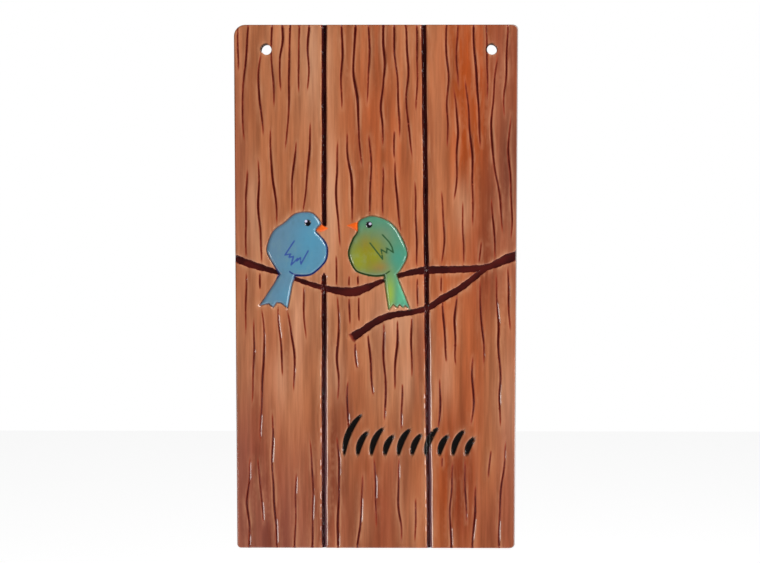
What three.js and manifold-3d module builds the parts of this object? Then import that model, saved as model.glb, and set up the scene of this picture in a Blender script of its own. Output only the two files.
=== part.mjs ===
// An upright ceramic wall tile, carved on its face as three weathered planks, with two birds
// perched on a branch, a row of slanted brush strokes below them, and two holes to hang it by.
// Lengths are millimetres. The tile stands upright: +Z is up, the carved face looks along -Y,
// and the origin lies on the flat back, half-way across and level with the hanging holes.

import * as THREE from 'three';
import * as BufferGeometryUtils from 'three/addons/utils/BufferGeometryUtils.js';
import Module from 'manifold-3d';

// The tile
const tileWidth = 150;
const tileHeight = 280;
const tileThickness = 8;
const edgeRounding = 1.2;
const topLeftCorner = 6;
const topRightCorner = 2.6;
const bottomRightCorner = 2.6;
const bottomLeftCorner = 2.2;

// The hanging holes
const holeDiameter = 6;
const holeSpacing = 119;
const holeDrop = 13.1;
const holeShift = 1.7;
const holeRim = 0.6;

// The two gaps between the planks, each placed across the tile at its top and bottom end
const gapWidth = 3.2;
const gapDepth = 2.1;
const gapPlaces = [
  { top: -27, bottom: -27.5 },
  { top: 25.6, bottom: 29.3 },
];

// The cracks in the wood
const crackWidth = 1.25;
const crackDepth = 0.9;

// The branches and the strokes
const branchDepth = 1.5;
const strokeWidth = 3.3;
const strokeDepth = 1.3;
const strokeHeight = 13;
const strokeLean = 5.5;

// The birds
const leftBirdHeight = 33.5;
const rightBirdHeight = 33;
const birdRise = 1;
const birdRounding = 1.1;
const outlineWidth = 1;
const outlineDepth = 0.9;
const beakRise = 0.7;
const eyeDiameter = 3.1;
const eyeDepth = 0.5;
const wingLineWidth = 0.9;
const wingLineDepth = 0.6;

// How finely the round parts are faceted
const cornerSteps = 5;
const roundingSteps = 3;
const holeSides = 28;
const outlineSteps = 3;
const branchSteps = 2;
const strokeSteps = 6;
const crackStep = 18;

// A cutter starts this far outside the face or edge that it cuts through
const clearOfFace = 1;

// The carving is placed in percent of the tile: across from its left edge, down from its top.
// Each crack: across at its upper end, upper end, across at its lower end, lower end, and how
// far its middle bows to the right, in percent of the width. 0 and 100 down run off the tile.
const cracks = [
  [5.3, 0, 3.6, 22, -1.3],
  [9.7, 5.5, 10.2, 21, -1.4],
  [13.7, 0, 14.2, 15.8, -0.6],
  [16.9, 0, 16.6, 12.7, -0.6],
  [19.8, 0, 18.1, 24, 0.4],
  [23.1, 0, 23, 13.3, -0.3],
  [26.6, 0, 25.9, 12.7, 0],
  [4.5, 27.3, 4, 44.5, -0.3],
  [8.3, 25.2, 9.4, 45.4, -0.5],
  [12.7, 19.6, 14.8, 38.2, -0.4],
  [22, 22, 20.1, 35.7, -0.5],
  [27, 18.4, 24.2, 35.7, 0.4],
  [3.9, 47, 3.5, 59.4, 0.1],
  [6.6, 55.6, 5.7, 72.3, 0.3],
  [9.2, 54.4, 8.6, 79.4, 1],
  [15.2, 54, 16.7, 67.1, 0],
  [18.3, 54.6, 20.7, 70.1, 1.3],
  [24.3, 50, 25.2, 60.2, -0.3],
  [5, 82.4, 4.4, 100, -0.8],
  [7.8, 82.6, 9.5, 95.2, 0],
  [13.1, 73.6, 14.5, 100, -0.8],
  [21.4, 85.3, 20.8, 100, 0.1],
  [26.2, 78.4, 27.1, 100, 0.8],
  [38.1, 0, 38, 16, -0.2],
  [43.2, 0, 45.2, 26.8, -0.9],
  [47.5, 0, 46.8, 15.2, 0.4],
  [52.8, 0, 52.3, 23.2, 0],
  [56.3, 0, 58.4, 22, 0.2],
  [60.4, 0, 63, 25.8, -0.3],
  [64.3, 0, 64.2, 16.5, 0.3],
  [36.6, 21.8, 37.5, 42.4, -0.9],
  [39.8, 20.5, 41.5, 37.6, 0.3],
  [47.6, 20.9, 47.6, 36.3, 0.7],
  [56.7, 25.6, 58.9, 39.7, -0.3],
  [63.8, 29.6, 64.6, 46.4, 0],
  [36.2, 51.8, 36.4, 71.7, 0.2],
  [47.3, 59.6, 49.1, 70.5, 0],
  [52.8, 57.2, 53, 75.5, 0.5],
  [57.8, 56.8, 56.7, 69.6, 0.1],
  [62.7, 56, 62.9, 67.1, 0],
  [40.1, 67.7, 40.4, 78.2, -0.4],
  [36.1, 78.4, 36.3, 100, 0.5],
  [45.2, 85.7, 43.2, 100, 0.5],
  [49.4, 83.4, 50.1, 96.1, 0.2],
  [58.5, 83.4, 59.2, 99, -0.6],
  [74.6, 0, 75.3, 23.7, 0.2],
  [77.2, 11.8, 77.6, 33.4, 1.2],
  [84.3, 0, 86.9, 23.2, 0.2],
  [81.5, 10.4, 84.4, 38.2, 0.6],
  [88.6, 0, 89.2, 15.2, 0.2],
  [92.8, 5.7, 94.9, 40.1, -2.6],
  [96.3, 0, 95.3, 17.7, 0],
  [97.7, 16.7, 97.9, 41.1, -0.5],
  [73.1, 31.5, 73.4, 45.6, 0.8],
  [80.6, 33.4, 81.2, 45.6, 0],
  [90.8, 32.7, 92.4, 44.7, 0.2],
  [92.6, 47.2, 94.5, 76.9, 0.2],
  [87.1, 48.5, 88.6, 65, -0.2],
  [96.9, 46, 97.8, 58.4, -0.1],
  [78.9, 51.4, 78.5, 64.8, -0.5],
  [73.7, 52.5, 75.2, 64.2, 0],
  [84.4, 63, 84.1, 76.3, 0.6],
  [72.7, 67.3, 72.3, 76.9, 0.6],
  [77.5, 83.4, 77.1, 100, -0.4],
  [85.8, 87.8, 84.6, 100, 0.2],
  [96.6, 78.8, 94.3, 100, -0.6],
];

// The branches: across, down, and the width in millimetres there
const mainBranch = [
  [-2, 44.3, 3.6],
  [5.4, 45.8, 3.7],
  [15.7, 47.5, 2.1],
  [21.2, 48.6, 2.1],
  [31.6, 50.4, 2.8],
  [41, 51.2, 4],
  [46.4, 50.5, 3.7],
  [53, 48.9, 1.8],
  [62, 47.6, 2.8],
  [68.5, 47.1, 3.4],
  [85, 46.6, 3.4],
  [90.3, 46.3, 3.2],
  [96.6, 45, 4.7],
  [102, 44, 4.9],
];
const lowerBranch = [
  [88.4, 46.8, 2.6],
  [79.8, 50.2, 3],
  [68.8, 54, 2.4],
  [62.9, 55.2, 2.8],
  [56.6, 55.6, 3],
  [52.3, 56.6, 2.7],
  [46, 58.8, 2.9],
  [42.2, 59.5, 3.7],
];

// The row of brush strokes: where it starts and ends, its foot, and each stroke's height
const strokeRow = { from: 38.6, to: 82.5, foot: 82.3 };
const strokeHeights = [1.75, 1.05, 1.2, 0.9, 1.15, 0.95, 1.2, 0.9, 1.1, 0.8];

// Each bird is drawn in percent of its own height: to the right of and above its middle.
// perch is how far its middle sits above the branch.
const leftBird = {
  height: leftBirdHeight,
  across: 22.1,
  perch: 57,
  body: [[-4, -50], [10, -50], [25, -46], [44, -27], [47, -7], [42, 5], [34, 14], [29, 20],
    [32, 27], [37, 33], [26, 47], [13, 50], [-4, 47], [-21, 33], [-38, 20], [-48, -5], [-45, -20],
    [-28, -48]],
  tail: [[-38, -64], [-60, -96], [-46, -93], [-39, -99], [-33, -91], [-26, -92], [-16, -100],
    [-9, -64]],
  beak: [[28, 20], [49, 24], [36, 32]],
  eye: [17.7, 33.9],
  wing: [[-4, 7], [-18, -16], [-10, -14], [-12, -21], [-6, -19], [-9, -33], [4, -21], [6, -30],
    [17, -10]],
};
const rightBird = {
  height: rightBirdHeight,
  across: 50.7,
  perch: 59,
  body: [[31, -48], [39, -38], [49, -13], [37, 19], [20, 40], [-6, 50], [-24, 47], [-33, 40],
    [-34, 31], [-35, 22], [-42, 11], [-49, -13], [-40, -37], [-29, -45], [-6, -50], [11, -49]],
  tail: [[12, -63], [17.5, -101], [25, -92], [31, -97], [35, -92], [40, -97], [44, -94],
    [52, -101], [35, -60]],
  beak: [[-29, 21], [-29, 41], [-48, 34]],
  eye: [-14, 36.2],
  wing: [[-12, 4], [9, -22], [7, -6], [15, -11], [17, -2], [27, -10], [9, 19]],
};

// The glaze as a whole: a glossy, warm wood brown
const glazeColour = 0xac694d;
const glazeRoughness = 0.28;

const wasm = await Module();
wasm.setup();

// Turns a closed geometry into a solid, with its shared corners merged and flat slivers dropped
function solidOf(geometry) {
  const bare = geometry.clone();
  bare.deleteAttribute('normal');
  bare.deleteAttribute('uv');
  const merged = BufferGeometryUtils.mergeVertices(bare, 1e-4);
  const corners = merged.index.array;
  const kept = [];
  for (let i = 0; i < corners.length; i += 3) {
    const [a, b, c] = corners.slice(i, i + 3);
    if (a !== b && b !== c && c !== a) {
      kept.push(a, b, c);
    }
  }
  return new wasm.Manifold(new wasm.Mesh({
    numProp: 3,
    vertProperties: new Float32Array(merged.attributes.position.array),
    triVerts: new Uint32Array(kept),
  }));
}

function geometryOf(solid) {
  const mesh = solid.getMesh();
  const geometry = new THREE.BufferGeometry();
  geometry.setAttribute('position', new THREE.BufferAttribute(new Float32Array(mesh.vertProperties), 3));
  geometry.setIndex(new THREE.BufferAttribute(new Uint32Array(mesh.triVerts), 1));
  geometry.computeVertexNormals();
  return geometry;
}

// The tile is drawn lying down: X across, Y up the tile, Z out of its carved face, the back at 0.
const topEdge = holeDrop;
const bottomEdge = holeDrop - tileHeight;

function acrossAt(percent) {
  return (percent / 100 - 0.5) * tileWidth;
}

function heightAt(percent) {
  return topEdge - (percent / 100) * tileHeight;
}

function pointAt(across, down) {
  return new THREE.Vector2(acrossAt(across), heightAt(down));
}

// The plain slab, with its own radius at each corner and rounded edges
function makeSlab() {
  const side = tileWidth / 2;
  const outline = new THREE.Shape();
  outline.absarc(side - topRightCorner, topEdge - topRightCorner, topRightCorner, 0, Math.PI / 2);
  outline.absarc(topLeftCorner - side, topEdge - topLeftCorner, topLeftCorner, Math.PI / 2, Math.PI);
  outline.absarc(bottomLeftCorner - side, bottomEdge + bottomLeftCorner, bottomLeftCorner,
    Math.PI, 1.5 * Math.PI);
  outline.absarc(side - bottomRightCorner, bottomEdge + bottomRightCorner, bottomRightCorner,
    1.5 * Math.PI, 2 * Math.PI);
  const slab = new THREE.ExtrudeGeometry(outline, {
    depth: tileThickness - 2 * edgeRounding,
    bevelThickness: edgeRounding,
    bevelSize: edgeRounding,
    bevelOffset: -edgeRounding,
    bevelSegments: roundingSteps,
    curveSegments: cornerSteps,
  });
  slab.translate(0, 0, edgeRounding);
  return solidOf(slab);
}

// One hanging hole, with a softened rim at the face
function makeHole(sideways) {
  const radius = holeDiameter / 2;
  const profile = [
    new THREE.Vector2(0, -clearOfFace),
    new THREE.Vector2(radius, -clearOfFace),
    new THREE.Vector2(radius, tileThickness - holeRim),
    new THREE.Vector2(radius + holeRim + clearOfFace, tileThickness + clearOfFace),
    new THREE.Vector2(0, tileThickness + clearOfFace),
  ];
  const hole = new THREE.LatheGeometry(profile, holeSides);
  hole.rotateX(Math.PI / 2);
  hole.translate(holeShift + sideways * holeSpacing / 2, 0, 0);
  return solidOf(hole);
}

// A groove is a tapered rod laid along a curve on a surface and cut away: four sides give a
// sharp V, more sides a round channel.
function makeGroove(curve, { sides, steps, halfWidthAt, depthShare, surface = tileThickness }) {
  const rod = new THREE.CylinderGeometry(1, 1, 1, sides, steps);
  const place = rod.attributes.position;
  for (let i = 0; i < place.count; i += 1) {
    const along = 0.5 - place.getY(i);
    const spot = curve.getPoint(along);
    const heading = curve.getTangent(along);
    const half = halfWidthAt(along);
    const side = place.getX(i) * half;
    const rise = place.getZ(i) * half * depthShare;
    place.setXYZ(i, spot.x - heading.y * side, spot.y + heading.x * side, surface + rise);
  }
  return solidOf(rod);
}

// A line that is widest in its middle and thins out to a fine point at each end that stays on
// the tile
function taper(half, openStart, openEnd) {
  const pointedShare = 0.15;
  return (along) => {
    const from = openStart ? 0.5 : 0;
    const to = openEnd ? 0.5 : 1;
    const swell = Math.sin(Math.PI * (from + (to - from) * along));
    return half * (pointedShare + (1 - pointedShare) * Math.sqrt(Math.max(swell, 0)));
  };
}

function makeGap({ top, bottom }) {
  const line = new THREE.LineCurve(
    new THREE.Vector2(top, topEdge + clearOfFace),
    new THREE.Vector2(bottom, bottomEdge - clearOfFace),
  );
  return makeGroove(line, {
    sides: 10,
    steps: 1,
    halfWidthAt: () => gapWidth / 2,
    depthShare: gapDepth / (gapWidth / 2),
  });
}

function makeCrack([acrossTop, downTop, acrossBottom, downBottom, bow]) {
  const runsOffTop = downTop <= 0;
  const runsOffBottom = downBottom >= 100;
  const start = pointAt(acrossTop, downTop);
  const end = pointAt(acrossBottom, downBottom);
  start.y += runsOffTop ? clearOfFace : 0;
  end.y -= runsOffBottom ? clearOfFace : 0;
  const middle = start.clone().add(end).multiplyScalar(0.5);
  middle.x += 2 * (bow / 100) * tileWidth;
  return makeGroove(new THREE.QuadraticBezierCurve(start, middle, end), {
    sides: 4,
    steps: Math.max(2, Math.round(start.distanceTo(end) / crackStep)),
    halfWidthAt: taper(crackWidth / 2, runsOffTop, runsOffBottom),
    depthShare: crackDepth / (crackWidth / 2),
  });
}

function branchCurve(stations) {
  return new THREE.SplineCurve(stations.map(([across, down]) => pointAt(across, down)));
}

function makeBranch(stations) {
  const meanWidth = stations.reduce((sum, station) => sum + station[2], 0) / stations.length;
  const halfWidthAt = (along) => {
    const place = along * (stations.length - 1);
    const before = Math.min(Math.floor(place), stations.length - 2);
    return THREE.MathUtils.lerp(stations[before][2], stations[before + 1][2], place - before) / 2;
  };
  return makeGroove(branchCurve(stations), {
    sides: 8,
    steps: branchSteps * (stations.length - 1),
    halfWidthAt,
    depthShare: branchDepth / (meanWidth / 2),
  });
}

// One slanted brush stroke, bowed to the left and fullest in its middle
function makeStroke(number) {
  const share = number / (strokeHeights.length - 1);
  const across = THREE.MathUtils.lerp(strokeRow.from, strokeRow.to, share);
  const tall = strokeHeight * strokeHeights[number];
  const foot = pointAt(across, strokeRow.foot);
  const tip = new THREE.Vector2(foot.x + strokeLean * strokeHeights[number], foot.y + tall);
  const bend = new THREE.Vector2(foot.x, foot.y + 0.6 * tall);
  return makeGroove(new THREE.QuadraticBezierCurve(foot, bend, tip), {
    sides: 8,
    steps: strokeSteps,
    halfWidthAt: taper(strokeWidth / 2, false, false),
    depthShare: strokeDepth / (strokeWidth / 2),
  });
}

// The height of a branch's middle line at a place across the tile
function branchHeightAt(stations, across) {
  const points = branchCurve(stations).getPoints(20 * stations.length);
  const after = points.findIndex((point) => point.x >= across);
  const share = (across - points[after - 1].x) / (points[after].x - points[after - 1].x);
  return THREE.MathUtils.lerp(points[after - 1].y, points[after].y, share);
}

// Where a bird's own percents lie on the tile
function birdPlacer(bird) {
  const middleAcross = acrossAt(bird.across);
  const middleHeight = branchHeightAt(mainBranch, middleAcross) + (bird.perch / 100) * bird.height;
  return ([right, up]) => new THREE.Vector2(
    middleAcross + (right / 100) * bird.height,
    middleHeight + (up / 100) * bird.height,
  );
}

// The silhouette of a bird: one round line for breast, head and back, and a straight-sided
// tail with a ragged end
function birdOutline(bird, place) {
  const outline = new THREE.Shape();
  const [start, ...body] = bird.body.map(place);
  outline.moveTo(start.x, start.y);
  outline.splineThru(body);
  for (const corner of bird.tail.map(place)) {
    outline.lineTo(corner.x, corner.y);
  }
  return outline;
}

// A flat form with rounded upper edges that stands out of the tile: from a root below the
// face up to its own rise above it
function raised(outline, rise, rounding) {
  const root = tileThickness / 2;
  const form = new THREE.ExtrudeGeometry(outline, {
    depth: tileThickness + rise - root - 2 * rounding,
    bevelThickness: rounding,
    bevelSize: rounding,
    bevelOffset: -rounding,
    bevelSegments: roundingSteps,
    curveSegments: outlineSteps,
  });
  form.translate(0, 0, root + rounding);
  return solidOf(form);
}

// The narrow groove that sets a form off from the planks around it
function moatAround(outline) {
  const moat = new THREE.ExtrudeGeometry(outline, {
    depth: outlineDepth + clearOfFace,
    bevelThickness: outlineWidth / 4,
    bevelSize: outlineWidth / 4,
    bevelOffset: (3 / 4) * outlineWidth,
    bevelSegments: 1,
    curveSegments: outlineSteps,
  });
  moat.translate(0, 0, tileThickness - outlineDepth + outlineWidth / 4);
  return solidOf(moat);
}

function beakOutline(bird, place) {
  return new THREE.Shape(bird.beak.map(place));
}

function makeEye(bird, place) {
  const radius = eyeDiameter / 2;
  const sphereRadius = (radius * radius + eyeDepth * eyeDepth) / (2 * eyeDepth);
  const eye = new THREE.SphereGeometry(sphereRadius, 2 * holeSides, holeSides);
  const spot = place(bird.eye);
  eye.rotateX(Math.PI / 2);
  eye.translate(spot.x, spot.y, tileThickness + birdRise + sphereRadius - eyeDepth);
  return solidOf(eye);
}

// The wing is a zigzag of fine straight cuts in the bird's flank
function makeWingLines(bird, place) {
  const corners = bird.wing.map(place);
  return corners.slice(1).map((corner, i) => makeGroove(new THREE.LineCurve(corners[i], corner), {
    sides: 4,
    steps: 1,
    halfWidthAt: () => wingLineWidth / 2,
    depthShare: wingLineDepth / (wingLineWidth / 2),
    surface: tileThickness + birdRise,
  }));
}

function carveBird(tile, bird) {
  const place = birdPlacer(bird);
  const outline = birdOutline(bird, place);
  const beak = beakOutline(bird, place);
  let carved = tile.subtract(moatAround(outline));
  carved = carved.add(raised(beak, beakRise, beakRise));
  carved = carved.add(raised(outline, birdRise, birdRounding));
  carved = carved.subtract(makeEye(bird, place));
  for (const line of makeWingLines(bird, place)) {
    carved = carved.subtract(line);
  }
  return carved;
}

function makeTile() {
  let tile = makeSlab();
  for (const groove of [
    ...gapPlaces.map(makeGap),
    ...cracks.map(makeCrack),
    makeBranch(mainBranch),
    makeBranch(lowerBranch),
    ...strokeHeights.map((height, number) => makeStroke(number)),
  ]) {
    tile = tile.subtract(groove);
  }
  tile = carveBird(tile, leftBird);
  tile = carveBird(tile, rightBird);
  return tile.subtract(makeHole(-1)).subtract(makeHole(1));
}

const tile = new THREE.Mesh(
  geometryOf(makeTile()),
  new THREE.MeshStandardMaterial({
    color: glazeColour,
    roughness: glazeRoughness,
    metalness: 0,
    flatShading: true,
  }),
);
tile.name = 'plaque_tile';

// The drawn tile is stood up: its carved face turns to look along -Y
const plaque = new THREE.Group();
plaque.rotation.x = Math.PI / 2;
plaque.add(tile);

export default plaque;
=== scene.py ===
# %% [markdown]
# # A glazed wall plaque
# The real object is one upright tile of fired clay. It was cast with its carving already in it: three
# planks, two plump birds on a branch and a row of slanted strokes. Then it was painted with glazes and
# fired. This lesson makes its fine surface as one closed mesh, in millimetres on the face (across and up),
# and lays the glaze over it with nodes.

# %% Load the solid tile
import math

import bpy
import numpy as np
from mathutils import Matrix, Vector
from mathutils.geometry import delaunay_2d_cdt


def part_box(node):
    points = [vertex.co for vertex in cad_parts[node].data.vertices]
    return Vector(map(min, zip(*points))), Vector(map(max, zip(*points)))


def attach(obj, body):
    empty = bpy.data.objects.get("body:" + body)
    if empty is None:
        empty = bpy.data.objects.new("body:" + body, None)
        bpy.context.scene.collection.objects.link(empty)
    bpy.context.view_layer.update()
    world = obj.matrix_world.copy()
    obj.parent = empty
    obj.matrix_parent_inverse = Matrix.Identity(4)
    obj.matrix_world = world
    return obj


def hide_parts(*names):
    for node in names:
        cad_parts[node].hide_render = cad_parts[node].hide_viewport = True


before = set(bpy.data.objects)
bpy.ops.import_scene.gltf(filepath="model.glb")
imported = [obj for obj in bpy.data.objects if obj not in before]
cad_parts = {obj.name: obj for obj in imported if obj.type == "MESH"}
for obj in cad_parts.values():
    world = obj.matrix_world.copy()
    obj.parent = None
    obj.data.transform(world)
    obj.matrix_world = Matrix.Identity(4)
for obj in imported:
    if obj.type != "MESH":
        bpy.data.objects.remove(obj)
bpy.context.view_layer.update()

MM = 0.001
low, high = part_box("plaque_tile")
left_edge, right_edge = low[0] / MM, high[0] / MM
bottom_edge, top_edge = low[2] / MM, high[2] / MM
tile_width = right_edge - left_edge
tile_height = top_edge - bottom_edge
bird_rise = 1.0
face_height = (high[1] - low[1]) / MM - bird_rise
print(f"tile {tile_width:.1f} x {tile_height:.1f} mm, face {face_height:.1f} mm above the back")

# %% [markdown]
# ## Places on the face
# Every line of the carving is read off as percent of the tile, across from its left edge and down from its
# top. A few points give a line its shape, and a curve through them gives the rest, as a carver's tool would.

# %% Places and curves
picture_lean = 0.016


def place(across, down):
    """Percent of the tile to mm; a picture taken from a little above shows its middle too low."""
    down = down * (1 - picture_lean * (1 - down / 100))
    return (left_edge + across / 100 * tile_width, top_edge - down / 100 * tile_height)


def smooth_line(points, step, closed=False):
    """A curve through the points (Catmull-Rom), in steps; further columns are carried along."""
    points = np.asarray(points, float)
    if closed:
        padded = np.vstack([points[-1:], points, points[:2]])
    else:
        before = 2 * points[:1] - points[1:2]
        after = 2 * points[-1:] - points[-2:-1]
        padded = np.vstack([before, points, after])
    pieces = []
    for a, b, c, d in zip(padded, padded[1:], padded[2:], padded[3:]):
        count = max(1, math.ceil(math.dist(b[:2], c[:2]) / step))
        t = np.arange(count)[:, None] / count
        curve = 2 * b + (c - a) * t + (2 * a - 5 * b + 4 * c - d) * t ** 2
        curve = curve + (3 * b - a - 3 * c + d) * t ** 3
        pieces.append(curve / 2)
    if not closed:
        pieces.append(points[-1:])
    return np.vstack(pieces)


def rise(value, start, end):
    """0 before start, 1 after end, and a soft step between them."""
    t = np.clip((value - start) / (end - start), 0, 1)
    return t * t * (3 - 2 * t)


def pick_random(seed):
    return np.random.default_rng(seed)


print("middle of the face:", place(50, 50))

# %% [markdown]
# ## Gaps between the planks
# Two deep gaps part the three planks. On the real tile they were pressed with the edge of a ruler, so they
# waver only a little. Each line of the carving is kept with a half width at every point, so that the same
# function can carve them all. The left gap closes where the blue bird sits on it.

# %% The two gaps
gap_half_width = 1.45
gap_depth = 2.1
gap_ends = [(-27.35, -28.0), (25.1, 28.9)]
gap_points = 260
overrun = 1
gap_closes, gap_opens = (38, 38.8), (47, 48)
gaps = []
for number, (top_place, bottom_place) in enumerate(gap_ends):
    heights = np.linspace(top_edge + overrun, bottom_edge - overrun, gap_points)
    shares = np.linspace(0, 1, len(heights))
    waver = 0.06 * np.sin(heights / 9 + number * 2) + 0.03 * np.sin(heights / 3.7 + number)
    middles = top_place + (bottom_place - top_place) * shares + waver
    halves = gap_half_width + 0.06 * np.sin(heights / 6.1 + 1.3 * number)
    if number == 0:
        behind_bird = rise(heights, place(0, gap_opens[1])[1], place(0, gap_opens[0])[1])
        behind_bird *= 1 - rise(heights, place(0, gap_closes[1])[1], place(0, gap_closes[0])[1])
        halves *= 1 - behind_bird
    gaps.append(np.column_stack([middles, heights, halves]))
print(f"{len(gaps)} gaps, {2 * gap_half_width:.1f} mm wide")

# %% [markdown]
# ## Branches
# The branches are cut less deep, with walls that the glaze has rounded. Each row is a place in percent and
# how wide the branch is there in mm. Small waves make its edges look cut by hand.

# %% The branches
branch_depth = 1.5
branch_shoulder = 0.25
branch_step = 0.9
main_branch = [
    (-2, 44.0, 3.4), (5.4, 45.55, 3.7), (15.7, 47.25, 2.1), (21.2, 48.35, 2.1), (31.6, 50.1, 2.8),
    (41, 50.85, 4.6), (46.4, 50.1, 3.8), (53, 48.6, 1.8), (62, 47.2, 2.8), (68.5, 46.7, 3.8),
    (78, 46.55, 3.5), (85, 46.4, 3.4), (90.3, 46.0, 3.2), (96.6, 44.5, 4.7), (102, 43.6, 4.9),
]
lower_branch = [
    (88.4, 46.6, 2.6), (79.8, 50.2, 3.2), (73.3, 52.2, 3.4), (68.8, 53.8, 2.8), (62.9, 54.7, 2.8),
    (56.6, 55.2, 3.2), (52.3, 55.9, 3.5), (48, 57.2, 3.5), (46, 58, 3.6), (42.2, 59.3, 4.4),
]
branches = []
for stations in (main_branch, lower_branch):
    points = [(*place(across, down), width / 2 + branch_shoulder) for across, down, width in stations]
    line = smooth_line(points, branch_step)
    line[:, 2] += 0.12 * np.sin(line[:, 0] * 1.1) + 0.08 * np.sin(line[:, 0] * 2.7 + 1)
    branches.append(line)
print(f"{len(branches)} branches, {sum(map(len, branches))} points along them")

# %% [markdown]
# ## Strokes
# The row of slanted strokes was cut with a pointed tool and inked. Each bends a little to the right, is
# widest half-way up and comes to a point at both ends.

# %% The strokes
stroke_depth = 1.3
stroke_half_width = 1.9
stroke_height = 13
stroke_lean = 5.5
stroke_bend = 0.6
stroke_step = 1.1
stroke_row_start, stroke_row_end, stroke_row_foot = 38.6, 82.5, 82.3
stroke_heights = [1.75, 1.05, 1.2, 0.9, 1.15, 0.95, 1.2, 0.9, 1.1, 0.8]
strokes = []
for number, relative in enumerate(stroke_heights):
    share = number / (len(stroke_heights) - 1)
    foot = place(stroke_row_start + (stroke_row_end - stroke_row_start) * share, stroke_row_foot)
    tall = stroke_height * relative
    bend = (foot[0], foot[1] + stroke_bend * tall)
    tip = (foot[0] + stroke_lean * relative, foot[1] + tall)
    t = np.linspace(0, 1, max(8, round(tall / stroke_step)))[:, None]
    path = (1 - t) ** 2 * np.array(foot) + 2 * t * (1 - t) * np.array(bend) + t ** 2 * np.array(tip)
    halves = stroke_half_width * (0.15 + 0.85 * np.sqrt(np.sin(math.pi * t)))
    strokes.append(np.column_stack([path, halves]))
print(f"{len(strokes)} strokes")

# %% [markdown]
# ## Places in the photograph
# The cracks were read off the photograph, as pixels across and down. It was taken from a little above
# and not quite square on, so the sides of the tile lean in it. This turns such a place into percent of the
# tile, to a tenth, which is as fine as a place can be read. A crack read right up to the top or the bottom
# edge runs off the tile there.

# %% From the photograph to the tile
photo_top, photo_tile_height = 23.8, 523.2
photo_left, photo_right, sides_read_at = 234.2, 516.3, 60
left_lean, right_lean = 0.005, 0.00826
height_lean = 0.011
first_row, last_row = 26, 545
above_tile, below_tile = -0.6, 100.6


def percent_from_photo(x, y):
    """A place in the photograph, in pixels, as percent across and down the tile."""
    left = photo_left + (y - sides_read_at) * left_lean
    right = photo_right - (y - sides_read_at) * right_lean
    across = round(100 * (x - left) / (right - left), 1)
    if y <= first_row:
        return across, above_tile
    if y >= last_row:
        return across, below_tile
    share = (y - photo_top) / photo_tile_height
    return across, round(100 * share * (1 - height_lean * (1 - share)), 1)


print("top left hole's height in percent:", percent_from_photo(265, 49)[1])

# %% [markdown]
# ## Cracks
# Weathered planks are full of long cracks along the grain. Each row is one crack: how strong it is, from 0
# to 1, and the places in the photograph that it passes through, top first. A crack thins out to nothing at
# an end that stays on the tile.

# %% The cracks of each plank
left_cracks = [
    (0.2, (238.4, 26), (238.4, 72)),
    (0.5, (249, 25), (247.3, 45), (244.1, 80), (242.6, 110), (244.8, 142)),
    (0.6, (261.4, 52), (258.4, 75), (259.4, 95), (262, 115), (263.3, 136)),
    (0.4, (272.8, 25), (271.2, 45), (272.2, 65), (273.5, 85), (274.5, 107)),
    (0.6, (281.8, 25), (283, 40), (280.1, 58), (279.8, 75), (281.1, 91)),
    (0.5, (290, 25), (289.8, 50), (288.8, 75), (289.4, 100), (287.5, 125), (285.6, 150)),
    (0.3, (299.4, 25), (299, 50), (298.3, 72), (299.2, 94)),
    (0.5, (309.2, 25), (307.9, 45), (308.8, 68), (307.3, 91)),
    (0.5, (247.3, 168), (246, 215), (246.4, 258)),
    (0.3, (246.2, 270), (246, 300), (245.4, 336)),
    (0.7, (257.9, 157), (259.2, 185), (258.2, 210), (260.7, 235), (261.5, 263)),
    (0.4, (260, 272), (260, 289)),
    (0.7, (270.3, 127), (270.9, 150), (272.2, 175), (276, 200), (276.4, 225)),
    (0.5, (296.4, 140), (292.6, 175), (291.3, 212)),
    (0.6, (310.5, 121), (309.2, 150), (306.6, 180), (302.8, 212)),
    (0.4, (254, 316), (254, 339), (253.4, 362), (252.9, 386), (251.8, 403)),
    (0.7, (261.2, 307), (264.3, 331), (263.4, 354), (262.5, 380), (261.2, 407), (259.8, 440)),
    (0.5, (277.7, 304), (278.6, 325), (281.7, 355), (282.1, 376)),
    (0.6, (286.6, 308), (290.6, 330), (293.8, 350), (293.9, 371), (293.3, 392)),
    (0.3, (303.2, 285), (303.6, 305), (304, 322), (305.8, 340)),
    (0.6, (250, 456), (249, 478), (246.9, 500), (249, 523), (248.7, 546)),
    (0.5, (257.7, 457), (259.2, 480), (261.7, 500), (262.6, 522)),
    (0.7, (272.3, 410), (272.6, 430), (271.9, 460), (273, 490), (275, 518), (276.5, 546)),
    (0.4, (295.4, 471), (294.9, 510), (293.9, 546)),
    (0.5, (308.7, 435), (311.7, 470), (312.2, 510), (311.2, 546)),
]
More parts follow.
